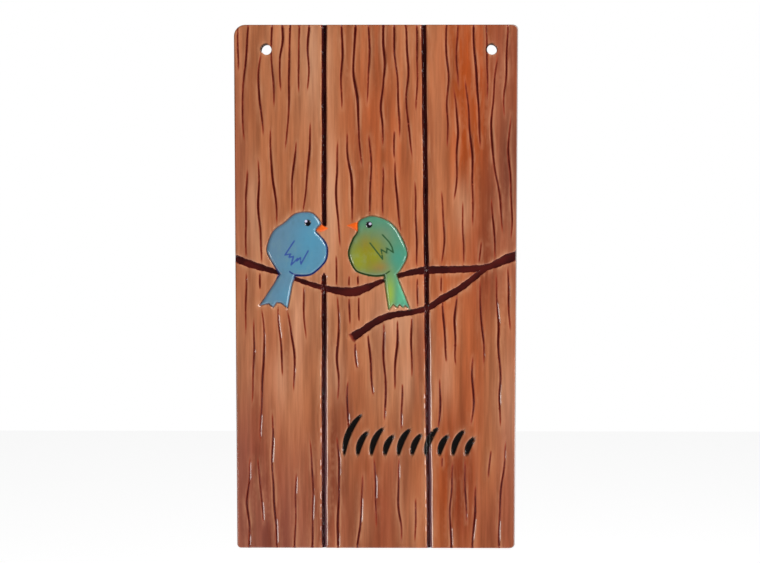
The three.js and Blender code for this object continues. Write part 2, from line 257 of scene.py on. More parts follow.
middle_cracks = [
    (0.6, (341.7, 25), (341.9, 55), (340.8, 80), (341.4, 109)),
    (0.9, (356, 26), (353.4, 50), (353.4, 75), (357, 100), (358.3, 122), (358.6, 142), (361.5, 165)),
    (0.4, (368.2, 25), (368.9, 60), (366.3, 104)),
    (0.8, (383.1, 25), (382.5, 45), (384.2, 65), (382.5, 85), (380, 105), (382.1, 125), (381.6, 146)),
    (0.5, (393, 25), (394, 50), (396.5, 80), (398, 110), (398.8, 140)),
    (0.6, (404.8, 25), (406.7, 50), (407.4, 72), (405.7, 95), (406.7, 118), (409.3, 140), (411.6, 160)),
    (0.4, (415.7, 25), (416.3, 68), (415, 111)),
    (0.6, (337.5, 139), (336.6, 165), (335.9, 190), (337.6, 220), (339.9, 247)),
    (0.9, (346.5, 132), (347.4, 155), (350.6, 178), (351.9, 200), (351.3, 222)),
    (0.6, (368.5, 134), (370.4, 160), (369.7, 188), (368.4, 215)),
    (0.4, (382.5, 165), (381.6, 216)),
    (0.6, (394, 159), (395.9, 195), (399.9, 233)),
    (0.5, (413.8, 180), (415, 225), (415.7, 268)),
    (0.3, (393.4, 130), (393.4, 159)),
    (0.4, (335.3, 254), (336.5, 286)),
    (0.8, (336.5, 295), (338.3, 318), (336.5, 354), (337.9, 376), (337, 400)),
    (0.4, (348.4, 275), (348.4, 286)),
    (0.4, (348.6, 297), (349, 324)),
    (0.4, (357, 275), (357, 285)),
    (0.4, (357.8, 295), (358.4, 321)),
    (0.4, (416.2, 277), (416.2, 307)),
    (0.7, (354.4, 342), (354.8, 354), (356.2, 368)),
    (0.9, (367.3, 334), (369.1, 357), (370.9, 380), (372.2, 394)),
    (0.8, (382.5, 322), (382.5, 354), (384.3, 380), (384.7, 398), (383, 420)),
    (0.8, (396.6, 319), (395.9, 342), (394.1, 362.5), (393.4, 389)),
    (0.6, (410.2, 316), (410.2, 345), (410.6, 376)),
    (0.6, (347.2, 379), (346.3, 403), (348.1, 434)),
    (0.6, (400.8, 383), (400.8, 398), (399.9, 428)),
    (0.9, (336.2, 435), (338.3, 470), (337.2, 510), (336.7, 546)),
    (0.6, (361.2, 473), (360.7, 500), (358.7, 525), (355.6, 546)),
    (0.5, (373, 456), (374.5, 490), (374.8, 527)),
    (0.6, (398, 456), (397, 480), (397.3, 505), (399.6, 525), (399.9, 542)),
    (0.3, (414.4, 496), (413.4, 542)),
]
right_cracks = [
    (0.5, (444.9, 25), (445.5, 55), (447.4, 80), (445.5, 105), (446.5, 128), (446.1, 149)),
    (0.3, (456.6, 25), (455.5, 55), (457, 88)),
    (0.7, (451.9, 86), (455.1, 108), (456.7, 130), (455.1, 150), (455.5, 175), (452.5, 200)),
    (0.9, (472.3, 25), (472.9, 50), (475.5, 80), (477.4, 115), (478.7, 146)),
    (0.7, (464, 79), (466.6, 105), (468.5, 130), (470.8, 160), (471, 190), (471.4, 225)),
    (0.3, (484.4, 25), (485.7, 65), (485.4, 104)),
    (0.7, (496.1, 54), (493.3, 78), (491.4, 100), (489.9, 122), (490.2, 145), (493.3, 168), (497.2, 192),
     (499.7, 215), (500.5, 235)),
    (0.5, (506.1, 26), (505.5, 50), (504.2, 75), (502.3, 97), (502.7, 117)),
    (0.6, (509.3, 112), (506.7, 145), (508.6, 180), (509.9, 215), (509, 240)),
    (0.4, (439.8, 190), (441.9, 215), (442.6, 240), (440.3, 264)),
    (0.3, (439.8, 275), (439.8, 292)),
    (0.9, (441.1, 300), (442.3, 322), (443.7, 345), (444.8, 361)),
    (0.3, (460.8, 200), (462.1, 264)),
    (0.5, (489.5, 196), (492.1, 228), (493.4, 259)),
    (0.8, (494, 272), (495, 300), (496.3, 325), (496.3, 345), (498.1, 376), (497.5, 398), (497.9, 427)),
    (0.4, (479.2, 240), (477.4, 262)),
    (0.6, (478.6, 279), (478, 300), (480, 322), (481.6, 345), (482.2, 365)),
    (0.5, (505.8, 266), (506.6, 300), (508, 331)),
    (0.8, (455.6, 294), (453, 316), (453.8, 336), (453, 354), (453.9, 364)),
    (0.7, (470.4, 355), (470, 371), (471.3, 389), (471.6, 403), (469.1, 424)),
    (0.6, (437.7, 377), (438.8, 401), (436.5, 427)),
    (0.6, (450.6, 461), (450.1, 485), (448.1, 505), (448.6, 525), (449.1, 545)),
    (0.5, (462.7, 457), (463.1, 480), (463.7, 500), (464.4, 522)),
    (0.8, (473.6, 484), (473.1, 505), (471.5, 525), (469.8, 545)),
    (0.4, (488.4, 449), (487.3, 463), (486.3, 477)),
    (0.6, (503.7, 437), (501.6, 465), (498.6, 490), (497, 515), (496.5, 545)),
    (0.3, (440.4, 456), (440.4, 466)),
]
print(f"{len(left_cracks)}, {len(middle_cracks)} and {len(right_cracks)} cracks on the planks")

# %% [markdown]
# A crack isn't even: it swells and wavers slowly along its way, and in places its right wall leans open. So
# each point of its line also keeps a half width, a share of the full depth, and how far the wall leans.

# %% How the cracks run
crack_step = 1.25
crack_taper_share = 0.45
taper_shape = 0.7
least_fade = 0.02
hand = pick_random(5)


def fade_near_end(from_end, taper):
    """How much of a crack is left at some distances from an end that thins out."""
    return np.sin(math.pi / 2 * np.clip(from_end / taper, least_fade, 1)) ** taper_shape


cracks = []
for strength, *read_places in left_cracks + middle_cracks + right_cracks:
    stations = [percent_from_photo(*spot) for spot in read_places]
    line = smooth_line([place(*station) for station in stations], crack_step)
    travelled = np.concatenate([[0], np.cumsum(np.hypot(*np.diff(line, axis=0).T))])
    taper = crack_taper_share * travelled[-1]
    fade = np.ones(len(line))
    if stations[0][1] > 0:
        fade = fade * fade_near_end(travelled, taper)
    if stations[-1][1] < 100:
        fade = fade * fade_near_end(travelled[-1] - travelled, taper)
    phase = hand.uniform(0, 6.3)
    swell = 1 + 0.22 * np.sin(travelled / 6 + phase)
    line[:, 0] += 0.15 * np.sin(travelled / 4 + 3 * phase)
    depth_share = (0.2 + 0.8 * strength) * fade * swell
    open_share = rise(np.sin(travelled / 7 + 2 * phase), 0.3, 0.85)
    half = 0.6 + 0.45 * depth_share
    cracks.append(np.column_stack([line, half, depth_share, open_share]))
print(f"{len(cracks)} cracks, {sum(map(len, cracks))} points along them")

# %% [markdown]
# ## Birds
# Each bird stands out of the face like a small pillow: a round body drawn as one smooth line, and a
# straight-sided tail. All its points are in percent of the bird's height, right of and above its middle.
# Its height on the tile follows the branch that it sits on.

# %% The outlines of the two birds
left_bird = {
    "across": 22.1, "perch": 57, "height": 33.5, "dark_side": (0.6, -0.8),
    "body": [(-4, -50), (10, -50), (25, -46), (44, -27), (47, -7), (42, 5), (34, 14), (29, 20), (32, 27),
             (37, 33), (26, 47), (13, 50), (-4, 47), (-21, 33), (-38, 20), (-48, -5), (-45, -20),
             (-28, -48)],
    "tail": [(-38, -65), (-60, -98), (-46, -95), (-39, -101), (-33, -93), (-26, -94), (-16, -102),
             (-9, -65)],
    "beak": [(29.5, 21.5), (34, 26.5), (38.5, 30.5), (49, 24.5), (42, 20.5), (36, 19.5)],
    "eye": (16.7, 33.4),
    "glint": (14.2, 36),
    "wing": [(-4.6, 5), (-19.5, -17.5), (-10.5, -16), (-13, -21), (-6, -20), (-10, -33.5), (0.5, -23),
             (-1, -27), (5, -21.5), (5.7, -32), (17.3, -11)],
    "belly": [(16, -50), (4, -49.5), (-6, -48), (-12, -44)],
}
right_bird = {
    "across": 50.7, "perch": 62, "height": 31.5, "dark_side": (-0.8, -0.6),
    "body": [(31, -48), (39, -38), (49, -13), (37, 19), (20, 40), (-6, 50), (-24, 47), (-33, 40),
             (-34, 31), (-35, 22), (-42, 11), (-49, -13), (-40, -37), (-29, -45), (-6, -50), (11, -49)],
    "tail": [(12.5, -66), (18.3, -108), (26, -98.5), (32.5, -104), (36.5, -98.5), (42, -104),
             (46, -100.5), (54.5, -108), (36.5, -63)],
    "beak": [(-34.5, 25), (-34.5, 41), (-52, 35)],
    "eye": (-15, 36.2),
    "glint": (-13.2, 37.8),
    "wing": [(-13, 5), (8, -22), (5.5, -5.5), (14.7, -11), (15.3, -3.4), (26, -10.5), (24, -2), (19, 7),
             (8, 19)],
    "belly": [(-16, -50), (-2, -50), (11, -47.5), (19.5, -42.5)],
}
print("heights of the birds:", left_bird["height"], "and", right_bird["height"], "mm")

# %% [markdown]
# On the tile a bird needs its own middle and scale. The straight sides of a tail stay straight when the step
# of the curve is longer than any of them.

# %% Set the birds on the branch
eye_radius = 1.75
glint_radius = 0.75
outline_step = 0.9
beak_step = 0.5
belly_step = 1
straight = 200
birds = []
for bird in (left_bird, right_bird):
    middle_across = place(bird["across"], 0)[0]
    branch_height = np.interp(middle_across, branches[0][:, 0], branches[0][:, 1])
    middle = np.array([middle_across, branch_height + bird["perch"] / 100 * bird["height"]])

    def on_bird(points, middle=middle, scale=bird["height"] / 100):
        return middle + scale * np.asarray(points, float)

    body = smooth_line(on_bird(bird["body"]), outline_step)
    tail = smooth_line(on_bird(bird["tail"]), straight)
    outline = np.vstack([body, tail, body[:1]])
    corners = [outline[0]]
    for start, end in zip(outline, outline[1:]):
        count = max(1, math.ceil(math.dist(start, end) / outline_step))
        corners += [start + (end - start) * number / count for number in range(1, count + 1)]
    beak = on_bird(bird["beak"] + bird["beak"][:1])
    birds.append({
        "middle": middle, "scale": bird["height"] / 100, "outline": np.array(corners), "beak": beak,
        "beak_edge": smooth_line(np.repeat(beak, 2, axis=0), beak_step), "dark_side": bird["dark_side"],
        "eye": on_bird(bird["eye"]), "glint": on_bird(bird["glint"]),
        "wing": smooth_line(on_bird(bird["wing"]), straight),
        "belly": smooth_line(on_bird(bird["belly"]), belly_step),
    })
print("bird middles:", [np.round(bird["middle"], 1).tolist() for bird in birds])

# %% [markdown]
# ## How far is a spot from a line?
# All carving is worked out from distances: to the middle of a groove, to a bird's outline, to the tile's
# own edge. A spot that is far from a line is left out of the sum, which keeps this quick.

# %% Distances


def near_line(spots, line, reach):
    """Which spots are near a line, how far they are, and what the line's further columns say there."""
    corner_low = line[:, :2].min(axis=0) - reach
    corner_high = line[:, :2].max(axis=0) + reach
    index = np.flatnonzero(np.all((spots > corner_low) & (spots < corner_high), axis=1))
    here = spots[index]
    distance = np.full(len(index), np.inf)
    columns = np.zeros((len(index), line.shape[1] - 2))
    for start, end in zip(line, line[1:]):
        way = end[:2] - start[:2]
        share = np.clip((here - start[:2]) @ way / max(way @ way, 1e-12), 0, 1)
        apart = here - start[:2] - share[:, None] * way
        gap = np.hypot(apart[:, 0], apart[:, 1])
        closer = gap < distance
        distance[closer] = gap[closer]
        columns[closer] = start[2:] + share[closer, None] * (end - start)[2:]
    return index, distance, columns


def inside(spots, outline):
    """Whether each spot lies inside a closed outline."""
    crossings = np.zeros(len(spots), int)
    for (ax, ay), (bx, by) in zip(outline, outline[1:]):
        spans = (ay > spots[:, 1]) != (by > spots[:, 1])
        if ay != by:
            crossing = ax + (spots[:, 1] - ay) * (bx - ax) / (by - ay)
            crossings += spans & (spots[:, 0] < crossing)
    return crossings % 2 == 1


def depth_inside(spots, outline, reach):
    """Which spots are near a closed outline, and how far inside it they are (negative outside)."""
    index, distance, _ = near_line(spots, outline, reach)
    within = inside(spots[index], outline)
    return index, np.where(within, distance, -distance)


corner_radii = {(-1, 1): 6.0, (1, 1): 2.6, (1, -1): 2.6, (-1, -1): 2.2}
face_middle = np.array([(left_edge + right_edge) / 2, (top_edge + bottom_edge) / 2])


def edge_distance(spots):
    """How far inside the tile's own outline each spot is."""
    from_middle = spots - face_middle
    radius = np.zeros(len(spots))
    for (sideways, upward), corner in corner_radii.items():
        quarter = (from_middle[:, 0] * sideways >= 0) & (from_middle[:, 1] * upward >= 0)
        radius[quarter] = corner
    past = np.abs(from_middle) - np.array([tile_width, tile_height]) / 2 + radius[:, None]
    outside = np.hypot(np.maximum(past[:, 0], 0), np.maximum(past[:, 1], 0))
    return radius - outside - np.minimum(past.max(axis=1), 0)


hole_radius = 2.65
wall_radius = 3.0
hole_rim = 0.6
hole_spacing = 119
hole_shift = 1.7
holes = np.array([(hole_shift - hole_spacing / 2, 0), (hole_shift + hole_spacing / 2, 0)])


def hole_distance(spots):
    """How far outside the nearer hanging hole each spot is."""
    return np.min([np.hypot(*(spots - hole).T) for hole in holes], axis=0) - hole_radius


print("distance of the middle from the edge:", edge_distance(np.array([face_middle]))[0])

# %% [markdown]
# ## Carving
# The height of the surface is worked out at any spot, and beside it how strongly each paint lies there. The
# grooves are cut from the flat face and the deepest cut wins. Where two strokes of one paint meet, the
# stronger one shows. A small class keeps the cuts and the paints while each kind of carving adds its own.

# %% A face to carve
paint_names = ("crack", "groove", "painted_reflection", "ink_and_shadow", "halo", "blue", "green", "line", "beak", "eye", "glint",
               "wing", "bare_clay_in_shade")
carving_reach = 6


class CarvedFace:
    """How high the surface is at a set of spots, and how strongly each paint lies there."""

    def __init__(self, spots):
        self.spots = spots
        self.cut = np.zeros(len(spots))
        self.height = np.full(len(spots), face_height)
        self.paint = {name: np.zeros(len(spots)) for name in paint_names}

    def dig(self, index, depth):
        self.cut[index] = np.maximum(self.cut[index], depth)

    def cover(self, name, index, amount):
        self.paint[name][index] = np.maximum(self.paint[name][index], amount)

    def wipe(self, names, index, share):
        for name in names:
            self.paint[name][index] *= 1 - share

    def pale_rim(self, index, beyond, strength, width):
        """Glaze runs off an edge, and lies thin and pale beside it."""
        self.cover("halo", index, strength * np.exp(-np.maximum(beyond, 0) / width))


def middle_at(line, heights):
    """How far across an upright line is, at some heights."""
    return np.interp(heights, line[::-1, 1], line[::-1, 0])


print("paints:", ", ".join(paint_names))

# %% [markdown]
# A crack is a narrow groove with a dark stain in it. Its left wall is steep. Its right wall is gentle, and
# where it leans open it catches the light of a low lamp as a thin white line.

# %% Cut the cracks
crack_depth = 0.45
steep_end, bevel_end = 0.43, 1.0
least_lean, more_lean = 0.1, 0.44
stain_shift, stain_core, stain_edge = 0.08, 0.34, 0.74


def carve_cracks(face):
    for line in cracks:
        index, distance, columns = near_line(face.spots, line, carving_reach)
        half, depth_share, open_share = columns.T
        on_right = face.spots[index, 0] > middle_at(line, face.spots[index, 1])
        t = distance / half
        bevel = (least_lean + more_lean * open_share) * half * rise(depth_share, 0, 0.3)
        gentle = bevel * np.clip(bevel_end - t, 0, bevel_end - steep_end)
        steep_share = np.clip(1 - t / steep_end, 0, 1)
        right_wall = gentle + crack_depth * depth_share * steep_share
        left_wall = (crack_depth * depth_share + bevel * (bevel_end - steep_end)) * steep_share
        face.dig(index, np.where(on_right, right_wall, left_wall))
        from_stain = np.abs(np.where(on_right, t, -t) + stain_shift)
        stain = (0.5 + 0.5 * depth_share) * (1 - rise(from_stain, stain_core, stain_edge))
        face.cover("crack", index, stain * rise(depth_share, -0.05, 0.3))
        face.pale_rim(index, distance - half, 0.16 + 0.4 * np.minimum(depth_share, 1), 1.0)


print(f"the steep part of a strong crack is {crack_depth:.2f} mm deep")

# %% [markdown]
# Gaps, branches and strokes are cut alike: a steep wall, and a small bevel beside it. Along a gap's left
# edge the bevel is chipped, so it glints in dashes. Low down, its right wall has a painted mauve reflection.

# %% Cut the gaps, the branches and the strokes
bevel_overlap = 0.15
wall_inside, wall_outside = 0.75, 0.05
paint_inside, paint_outside = 0.4, 0.05
reflection_full, reflection_none = 78, 54
groove_kinds = [
    {"lines": gaps, "depth": gap_depth, "bevel": 0.7, "drop": 0.36, "paint": "groove", "rim": 0.65},
    {"lines": branches, "depth": branch_depth, "bevel": 0.5, "drop": 0.26, "paint": "groove", "rim": 0.65},
    {"lines": strokes, "depth": stroke_depth, "bevel": 0.5, "drop": 0.26, "paint": "ink_and_shadow", "rim": 0.4},
]


def finish_gap(face, index, line, half):
    """Lay the painted reflection on a gap's right wall, and say how much is left of its chipped bevel."""
    heights = face.spots[index, 1]
    from_middle = face.spots[index, 0] - middle_at(line, heights)
    across = from_middle / np.maximum(half, 0.1)
    # A painted mauve reflection on the gap's right wall, low down on the tile.
    low_down = 1 - rise(heights, place(0, reflection_full)[1], place(0, reflection_none)[1])
    on_right_wall = rise(across, 0.15, 0.5) * (1 - rise(across, 0.8, 1.02))
    face.cover("painted_reflection", index, 0.8 * low_down * on_right_wall)
    waves = np.sin(1.05 * heights) + np.sin(0.37 * heights + 2)
    chipped = 0.15 + 0.85 * rise(waves, -0.2, 0.4)
    return np.where(from_middle < 0, chipped, 1)


def carve_grooves(face):
    for kind in groove_kinds:
        for line in kind["lines"]:
            index, distance, columns = near_line(face.spots, line, carving_reach)
            half = columns[:, 0]
            slope = 1 - np.clip((distance - half + bevel_overlap) / kind["bevel"], 0, 1)
            if kind["lines"] is gaps:
                slope = slope * finish_gap(face, index, line, half)
            wall = 1 - rise(distance, half - wall_inside, half + wall_outside)
            cut = kind["drop"] * slope + (kind["depth"] - kind["drop"]) * wall
            face.dig(index, rise(half, 0, 1) * cut)
            face.cover(kind["paint"], index, 1 - rise(distance, half - paint_inside, half + paint_outside))
            face.pale_rim(index, distance - half, kind["rim"], 1.3)


print("depths:", [kind["depth"] for kind in groove_kinds], "mm")

# %% [markdown]
# A bird is a pillow that starts low in a narrow moat, with a faint burr outside it. Its beak is a smaller
# pillow and its eye a shallow pit, and its wing and belly lines are only scratches. Dark glaze pools along
# one side of its outline.

# %% Shape the birds
moat_depth = 0.75
moat_width = 0.9
pillow_width = 1.8
pillow_rise = 1.45
crown_width = 9
outline_half_width = 0.5
burr_rise, burr_place, burr_width = 0.2, 1.4, 0.4
beak_sink, beak_rise, beak_width = 0.35, 0.9, 1.6
eye_depth = 0.35
scratch_depth = 0.08
dot_length = 1e-3


def swelling(depth, width):
    """A quarter-round rise from an edge, 0 at the edge and 1 at its width."""
    return np.sqrt(1 - (1 - np.clip(depth / width, 0, 1)) ** 2)


def raise_pillow(face, bird, name):
    index, depth = depth_inside(face.spots, bird["outline"], carving_reach)
    crown = (bird_rise + moat_depth - pillow_rise) * rise(depth, 0, crown_width)
    pillow = pillow_rise * swelling(depth, pillow_width) + crown
    burr = burr_rise * np.exp(-((-depth - burr_place) / burr_width) ** 2)
    moat = moat_depth * (1 - rise(-depth, 0, moat_width)) - burr
    beside = np.minimum(face.height[index], face_height - moat)
    face.height[index] = np.where(depth > 0, face_height - moat_depth + pillow, beside)
    body = rise(depth, -0.25, 0.15)
    face.cover(name, index, body)
    face.wipe(("crack", "groove"), index, body)
    from_bird = face.spots[index] - bird["middle"]
    pooled = rise(from_bird @ np.array(bird["dark_side"]), -4, 9)
    pooled *= rise(from_bird[:, 1], -20, -17)
    half = outline_half_width * (0.45 + 0.7 * pooled)
    contour = (0.4 + 0.6 * pooled) * (1 - rise(np.abs(depth + 0.15), half - 0.25, half + 0.1))
    face.cover("line", index, contour)
    face.pale_rim(index, -depth - 0.9, 0.7, 1.3)


def add_beak(face, bird):
    index, depth = depth_inside(face.spots, bird["beak"], 2)
    beak = face_height - beak_sink + beak_rise * swelling(depth, beak_width)
    here = face.height[index]
    face.height[index] = np.where(depth > 0, np.maximum(here, beak), here)
    covered = rise(depth, -0.3, 0.1)
    face.cover("beak", index, covered)
    face.wipe(("crack", "groove", "line"), index, covered)


def near_dot(face, bird, dot, reach):
    """Which spots are near the middle of a dot, taken as a very short line, and how far they are."""
    index, distance, _ = near_line(face.spots, np.array([bird[dot], bird[dot] + dot_length]), reach)
    return index, distance


def add_eye(face, bird):
    index, distance = near_dot(face, bird, "eye", 3)
    face.height[index] -= eye_depth * (1 - rise(distance, eye_radius - 0.7, eye_radius + 0.2))
    face.cover("eye", index, 1 - rise(distance, eye_radius - 0.15, eye_radius + 0.15))
    index, distance = near_dot(face, bird, "glint", 2)
    face.cover("glint", index, 1 - rise(distance, glint_radius - 0.3, glint_radius + 0.15))


def scratch_lines(face, bird):
    for part, name in (("wing", "wing"), ("belly", "line")):
        index, distance, _ = near_line(face.spots, bird[part], 2)
        face.height[index] -= scratch_depth * (1 - rise(distance, 0.1, 0.75))
        face.cover(name, index, 1 - rise(distance, 0.22, 0.52))


print(f"the pillow of a bird starts {moat_depth} mm below the face")

# %% [markdown]
# Last come the faint waves that the glaze leaves on flat wood, the rounded edges of the tile and of its
# holes, a painted shadow at the upper left of each hole, and a strip of bare clay along the right edge,
# painted grey as it looks in shade.

# %% Round the edges, and carve it all
arris = 1.2
wave_rise = 0.05
upper_left = np.array([-0.8, 0.6])
bare_start, bare_full = right_edge - 4, right_edge - 2


def round_over(distance, radius):
    """The height of a quarter-round edge below its flat, at a distance in from the edge."""
    short = radius - np.clip(distance, 0, radius)
    return np.sqrt(np.maximum(radius ** 2 - short ** 2, 0)) - radius


def round_edges(face):
    across, up = face.spots.T
    waves = 0.03 * np.sin(across / 4.3 + 1) * np.sin(up / 7.9)
    waves += 0.02 * np.sin(across / 2.1 + up / 11)
    face.height += waves - wave_rise
    from_edge = edge_distance(face.spots)
    from_hole = hole_distance(face.spots)
    for distance, radius in ((from_edge, arris), (from_hole, hole_rim)):
        on_rim = distance < radius
        rounded = face_height + round_over(distance[on_rim], radius)
        face.height[on_rim] = np.minimum(face.height[on_rim], rounded)
    everywhere = np.arange(len(face.spots))
    face.pale_rim(everywhere, from_hole - 0.3, 0.7, 1.0)
    # A painted shadow: dark colour at the upper left of each hole, stored with the ink.
    from_centre = face.spots - holes[(across > 0).astype(int)]
    shadow = 0.9 * rise(from_centre @ upper_left, 0.3, 1.8) * (1 - rise(from_hole, 0.4, 0.95))
    face.cover("ink_and_shadow", everywhere, shadow)
    # Bare clay on the right edge, painted a darker grey, as it looks in shade.
    right_strip = rise(across, bare_start, bare_full)
    face.cover("bare_clay_in_shade", everywhere, right_strip * (1 - rise(from_edge, 0.35, 0.75)))


def carve(spots):
    """The height of the surface above the back at each spot, and the paints there."""
    face = CarvedFace(spots)
    carve_cracks(face)
    carve_grooves(face)
    face.height -= face.cut
    for bird, name in zip(birds, ("blue", "green")):
        raise_pillow(face, bird, name)
        add_beak(face, bird)
        add_eye(face, bird)
        scratch_lines(face, bird)
    round_edges(face)
    return face.height, face.paint


print("height at the left bird's middle:", carve(np.array([birds[0]["middle"]]))[0][0])

# %% [markdown]
# ## Where to put the points
# A plain grid fine enough for a crack would have millions of points. Instead, rows of points follow every
# line of the carving, close together across it, and a wide grid fills the calm wood. Points that come too
# close to others are dropped. A constrained Delaunay triangulation then joins them all.

# %% Rows of points
ring_slack, least_slack = 0.12, 0.03
row_ratio = 0.87
shake = 0.12


def rows_beside(line, offsets, relative=False):
    """Rows of points on both sides of a line, at distances in mm or in shares of its half width."""
    way = np.gradient(line[:, :2], axis=0)
    way /= np.hypot(way[:, 0], way[:, 1])[:, None]
    across = np.column_stack([-way[:, 1], way[:, 0]])
    rows = []
    for offset in offsets:
        apart = offset * line[:, 2] if relative else line[:, 2] + offset
        for side in (-1, 1):
            rows.append(line[:, :2] + side * apart[:, None] * across)
    return np.vstack(rows + [line[:, :2]])


def rings_beside(outline, offsets):
    """Points around a closed outline, inside it where the offset is above 0."""
    way = np.gradient(outline, axis=0)
    way /= np.maximum(np.hypot(way[:, 0], way[:, 1]), 1e-9)[:, None]
    across = np.column_stack([-way[:, 1], way[:, 0]])
    rings = []
    for offset in offsets:
        ring = np.vstack([outline + across * offset, outline - across * offset])
        index, depth = depth_inside(ring, outline, 6)
        rings.append(ring[index][np.abs(depth - offset) < ring_slack * abs(offset) + least_slack])
    return np.vstack(rings)


def grid_points(step, corner_low, corner_high, seed):
    """A staggered grid with a slight shake, so that no rows show."""
    columns = np.arange(corner_low[0], corner_high[0], step)
    rows = np.arange(corner_low[1], corner_high[1], step * row_ratio)
    xs, ys = np.meshgrid(columns, rows)
    xs = xs + step / 2 * (np.arange(len(rows)) % 2)[:, None]
    spots = np.column_stack([xs.ravel(), ys.ravel()])
    return spots + pick_random(seed).uniform(-shake, shake, spots.shape) * step


print("rows and rings ready")

# %% [markdown]
# The rows stand closest where the surface bends most: on the walls and bevels of the grooves, and where a
# bird's pillow rises out of its moat.

# %% Points along the carving
bird_offsets = [0.001, 0.12, 0.3, 0.6, 1.0, 1.4, 1.8, -0.2, -0.45, -0.7, -0.95, -1.2, -1.45, -1.75, -2.2]
beak_offsets = [0.001, 0.15, 0.35, 0.7, 1.1, -0.2, -0.4]
scratch_offsets = [0.2, 0.4, 0.6, 0.85]
groove_offsets = [-1.0, -0.75, -0.52, -0.32, -0.12, 0.08, 0.28, 0.48, 0.72, 1.4]
stroke_offsets = [-1.2, -0.75, -0.5, -0.3, -0.1, 0.1, 0.28, 0.5, 1.3]
crack_offsets = [0.2, 0.46, 0.96, 1.25, 2.1]
dot_rings = {"eye": (0, 0.5, 0.85, 1.15, 1.4, 1.6, 1.85, 2.2), "glint": (0, 0.3, 0.6, 0.9)}
dot_spacing = 0.35
scratch_step = 0.7
bird_fill_step = 1.0


def unit_circle(count):
    """Evenly spaced points of a circle with radius 1."""
    angles = np.linspace(0, 2 * math.pi, count, endpoint=False)
    return np.column_stack([np.cos(angles), np.sin(angles)])


groups = []
for bird in birds:
    groups.append(rings_beside(bird["outline"], bird_offsets))
    for dot, radii in dot_rings.items():
        for radius in radii:
            count = max(1, round(2 * math.pi * radius / dot_spacing))
            groups.append(bird[dot] + radius * unit_circle(count))
    for part in ("wing", "belly"):
        dense = smooth_line(bird[part], scratch_step)
        line = np.column_stack([dense, np.zeros(len(dense))])
        groups.append(rows_beside(line, scratch_offsets))
    groups.append(rings_beside(bird["beak_edge"], beak_offsets))
groups += [rows_beside(line, groove_offsets) for line in gaps + branches]
groups += [rows_beside(line, stroke_offsets) for line in strokes]
groups += [rows_beside(line, crack_offsets, relative=True) for line in cracks]
for bird in birds:
    fill = grid_points(bird_fill_step, bird["outline"].min(axis=0), bird["outline"].max(axis=0), 11)
    groups.append(fill[inside(fill, bird["outline"])])
features = np.vstack(groups)
print(f"{len(features)} points follow the carving")

# %% [markdown]
# Between the rows a wide grid fills the calm wood. Rows of neighbouring lines run into each other, so points
# that share a small cell are thinned out, and the grid keeps away from any row.

# %% The calm wood, and points that are too close
base_step = 2.3
base = grid_points(base_step, (left_edge, bottom_edge), (right_edge, top_edge), 12)
closest = 0.16
calm_cell = 1.1
key_stride = 1_000_003
clear_of_arris, clear_of_hole = 0.15, 0.25


def thin_out(spots, cell):
    """Keep the first point of each small cell, with the cells laid four ways."""
    for shift in ((0, 0), (0.5, 0), (0, 0.5), (0.5, 0.5)):
        cells = np.floor(spots / cell + np.array(shift)).astype(np.int64)
        keys = cells[:, 0] * key_stride + cells[:, 1]
        _, first = np.unique(keys, return_index=True)
        spots = spots[np.sort(first)]
    return spots


def clear_of_rims(spots):
    inside_rim = edge_distance(spots) > arris + clear_of_arris
    return spots[inside_rim & (hole_distance(spots) > hole_rim + clear_of_hole)]


features = thin_out(clear_of_rims(features), closest)
occupied = set(map(tuple, np.floor(features / calm_cell).astype(int)))
base = clear_of_rims(base)
cells = map(tuple, np.floor(base / calm_cell).astype(int))
calm = [spot for spot, cell in zip(base, cells) if cell not in occupied]
inner_spots = np.vstack([features, np.array(calm)])
print(f"{len(features)} carving points and {len(calm)} calm points are left")

# %% [markdown]
# ## The rim of the tile and of its holes
# The outline and the holes need exact rings of points, because the sides are stitched to them. The rings of
# the rounded edge lie closer together where the edge turns down.

# %% Rings around the outline and the holes
rim_step = 0.75
corner_points = 9


def outline_ring(inset):
    """Points round the tile, anticlockwise from the left edge's top, with their outward directions."""
    spots, outward = [], []
    half = np.array([tile_width, tile_height]) / 2
    for sideways, upward, turn in ((-1, 1, 90), (-1, -1, 180), (1, -1, 270), (1, 1, 0)):
        radius = corner_radii[(sideways, upward)]
        centre = face_middle + np.array([sideways, upward]) * (half - radius)
        for angle in np.radians(np.linspace(turn, turn + 90, corner_points)):
            direction = np.array([math.cos(angle), math.sin(angle)])
            spots.append(centre + direction * (radius - inset))
            outward.append(direction)
    return np.array(spots), np.array(outward)


def fill_ring(corners, outward, counts):
    """Add evenly spaced points between the corner points, as many as the outermost ring needs."""
    spots, directions = [], []
    for number, count in enumerate(counts):
        following = (number + 1) % len(corners)
        for step in range(count):
            share = step / count
            spots.append(corners[number] * (1 - share) + corners[following] * share)
            directions.append(outward[number] * (1 - share) + outward[following] * share)
    return np.array(spots), np.array(directions)


outer_corners, _ = outline_ring(0)
lengths = np.hypot(*(np.roll(outer_corners, -1, axis=0) - outer_corners).T)
rim_counts = [max(1, math.ceil(length / rim_step)) for length in lengths]
rim_insets = [0, 0.04, 0.15, 0.34, 0.6, 0.9, arris]
rim_rings = [fill_ring(*outline_ring(inset), rim_counts) for inset in rim_insets]
rim_count = len(rim_rings[0][0])
hole_sides = 44
hole_circle = unit_circle(hole_sides)
hole_insets = [0, 0.03, 0.12, 0.28, 0.6, 1.1]
hole_rings = [hole + (hole_radius + inset) * hole_circle for hole in holes for inset in hole_insets]
print(f"{rim_count} points round the outline in each of {len(rim_rings)} rings")

# %% [markdown]
# ## One skin for the front
# All points of the front are joined in one go. The outermost ring and the innermost ring of each hole are
# fixed edges, so nothing is built beyond the outline or across a hole.

# %% Join the front
front_spots = np.vstack([ring for ring, _ in rim_rings] + hole_rings + [inner_spots])
flat_limit = 1e-9
join_tolerance = 1e-7


def loop_edges(first, count):
    return [(first + number, first + (number + 1) % count) for number in range(count)]


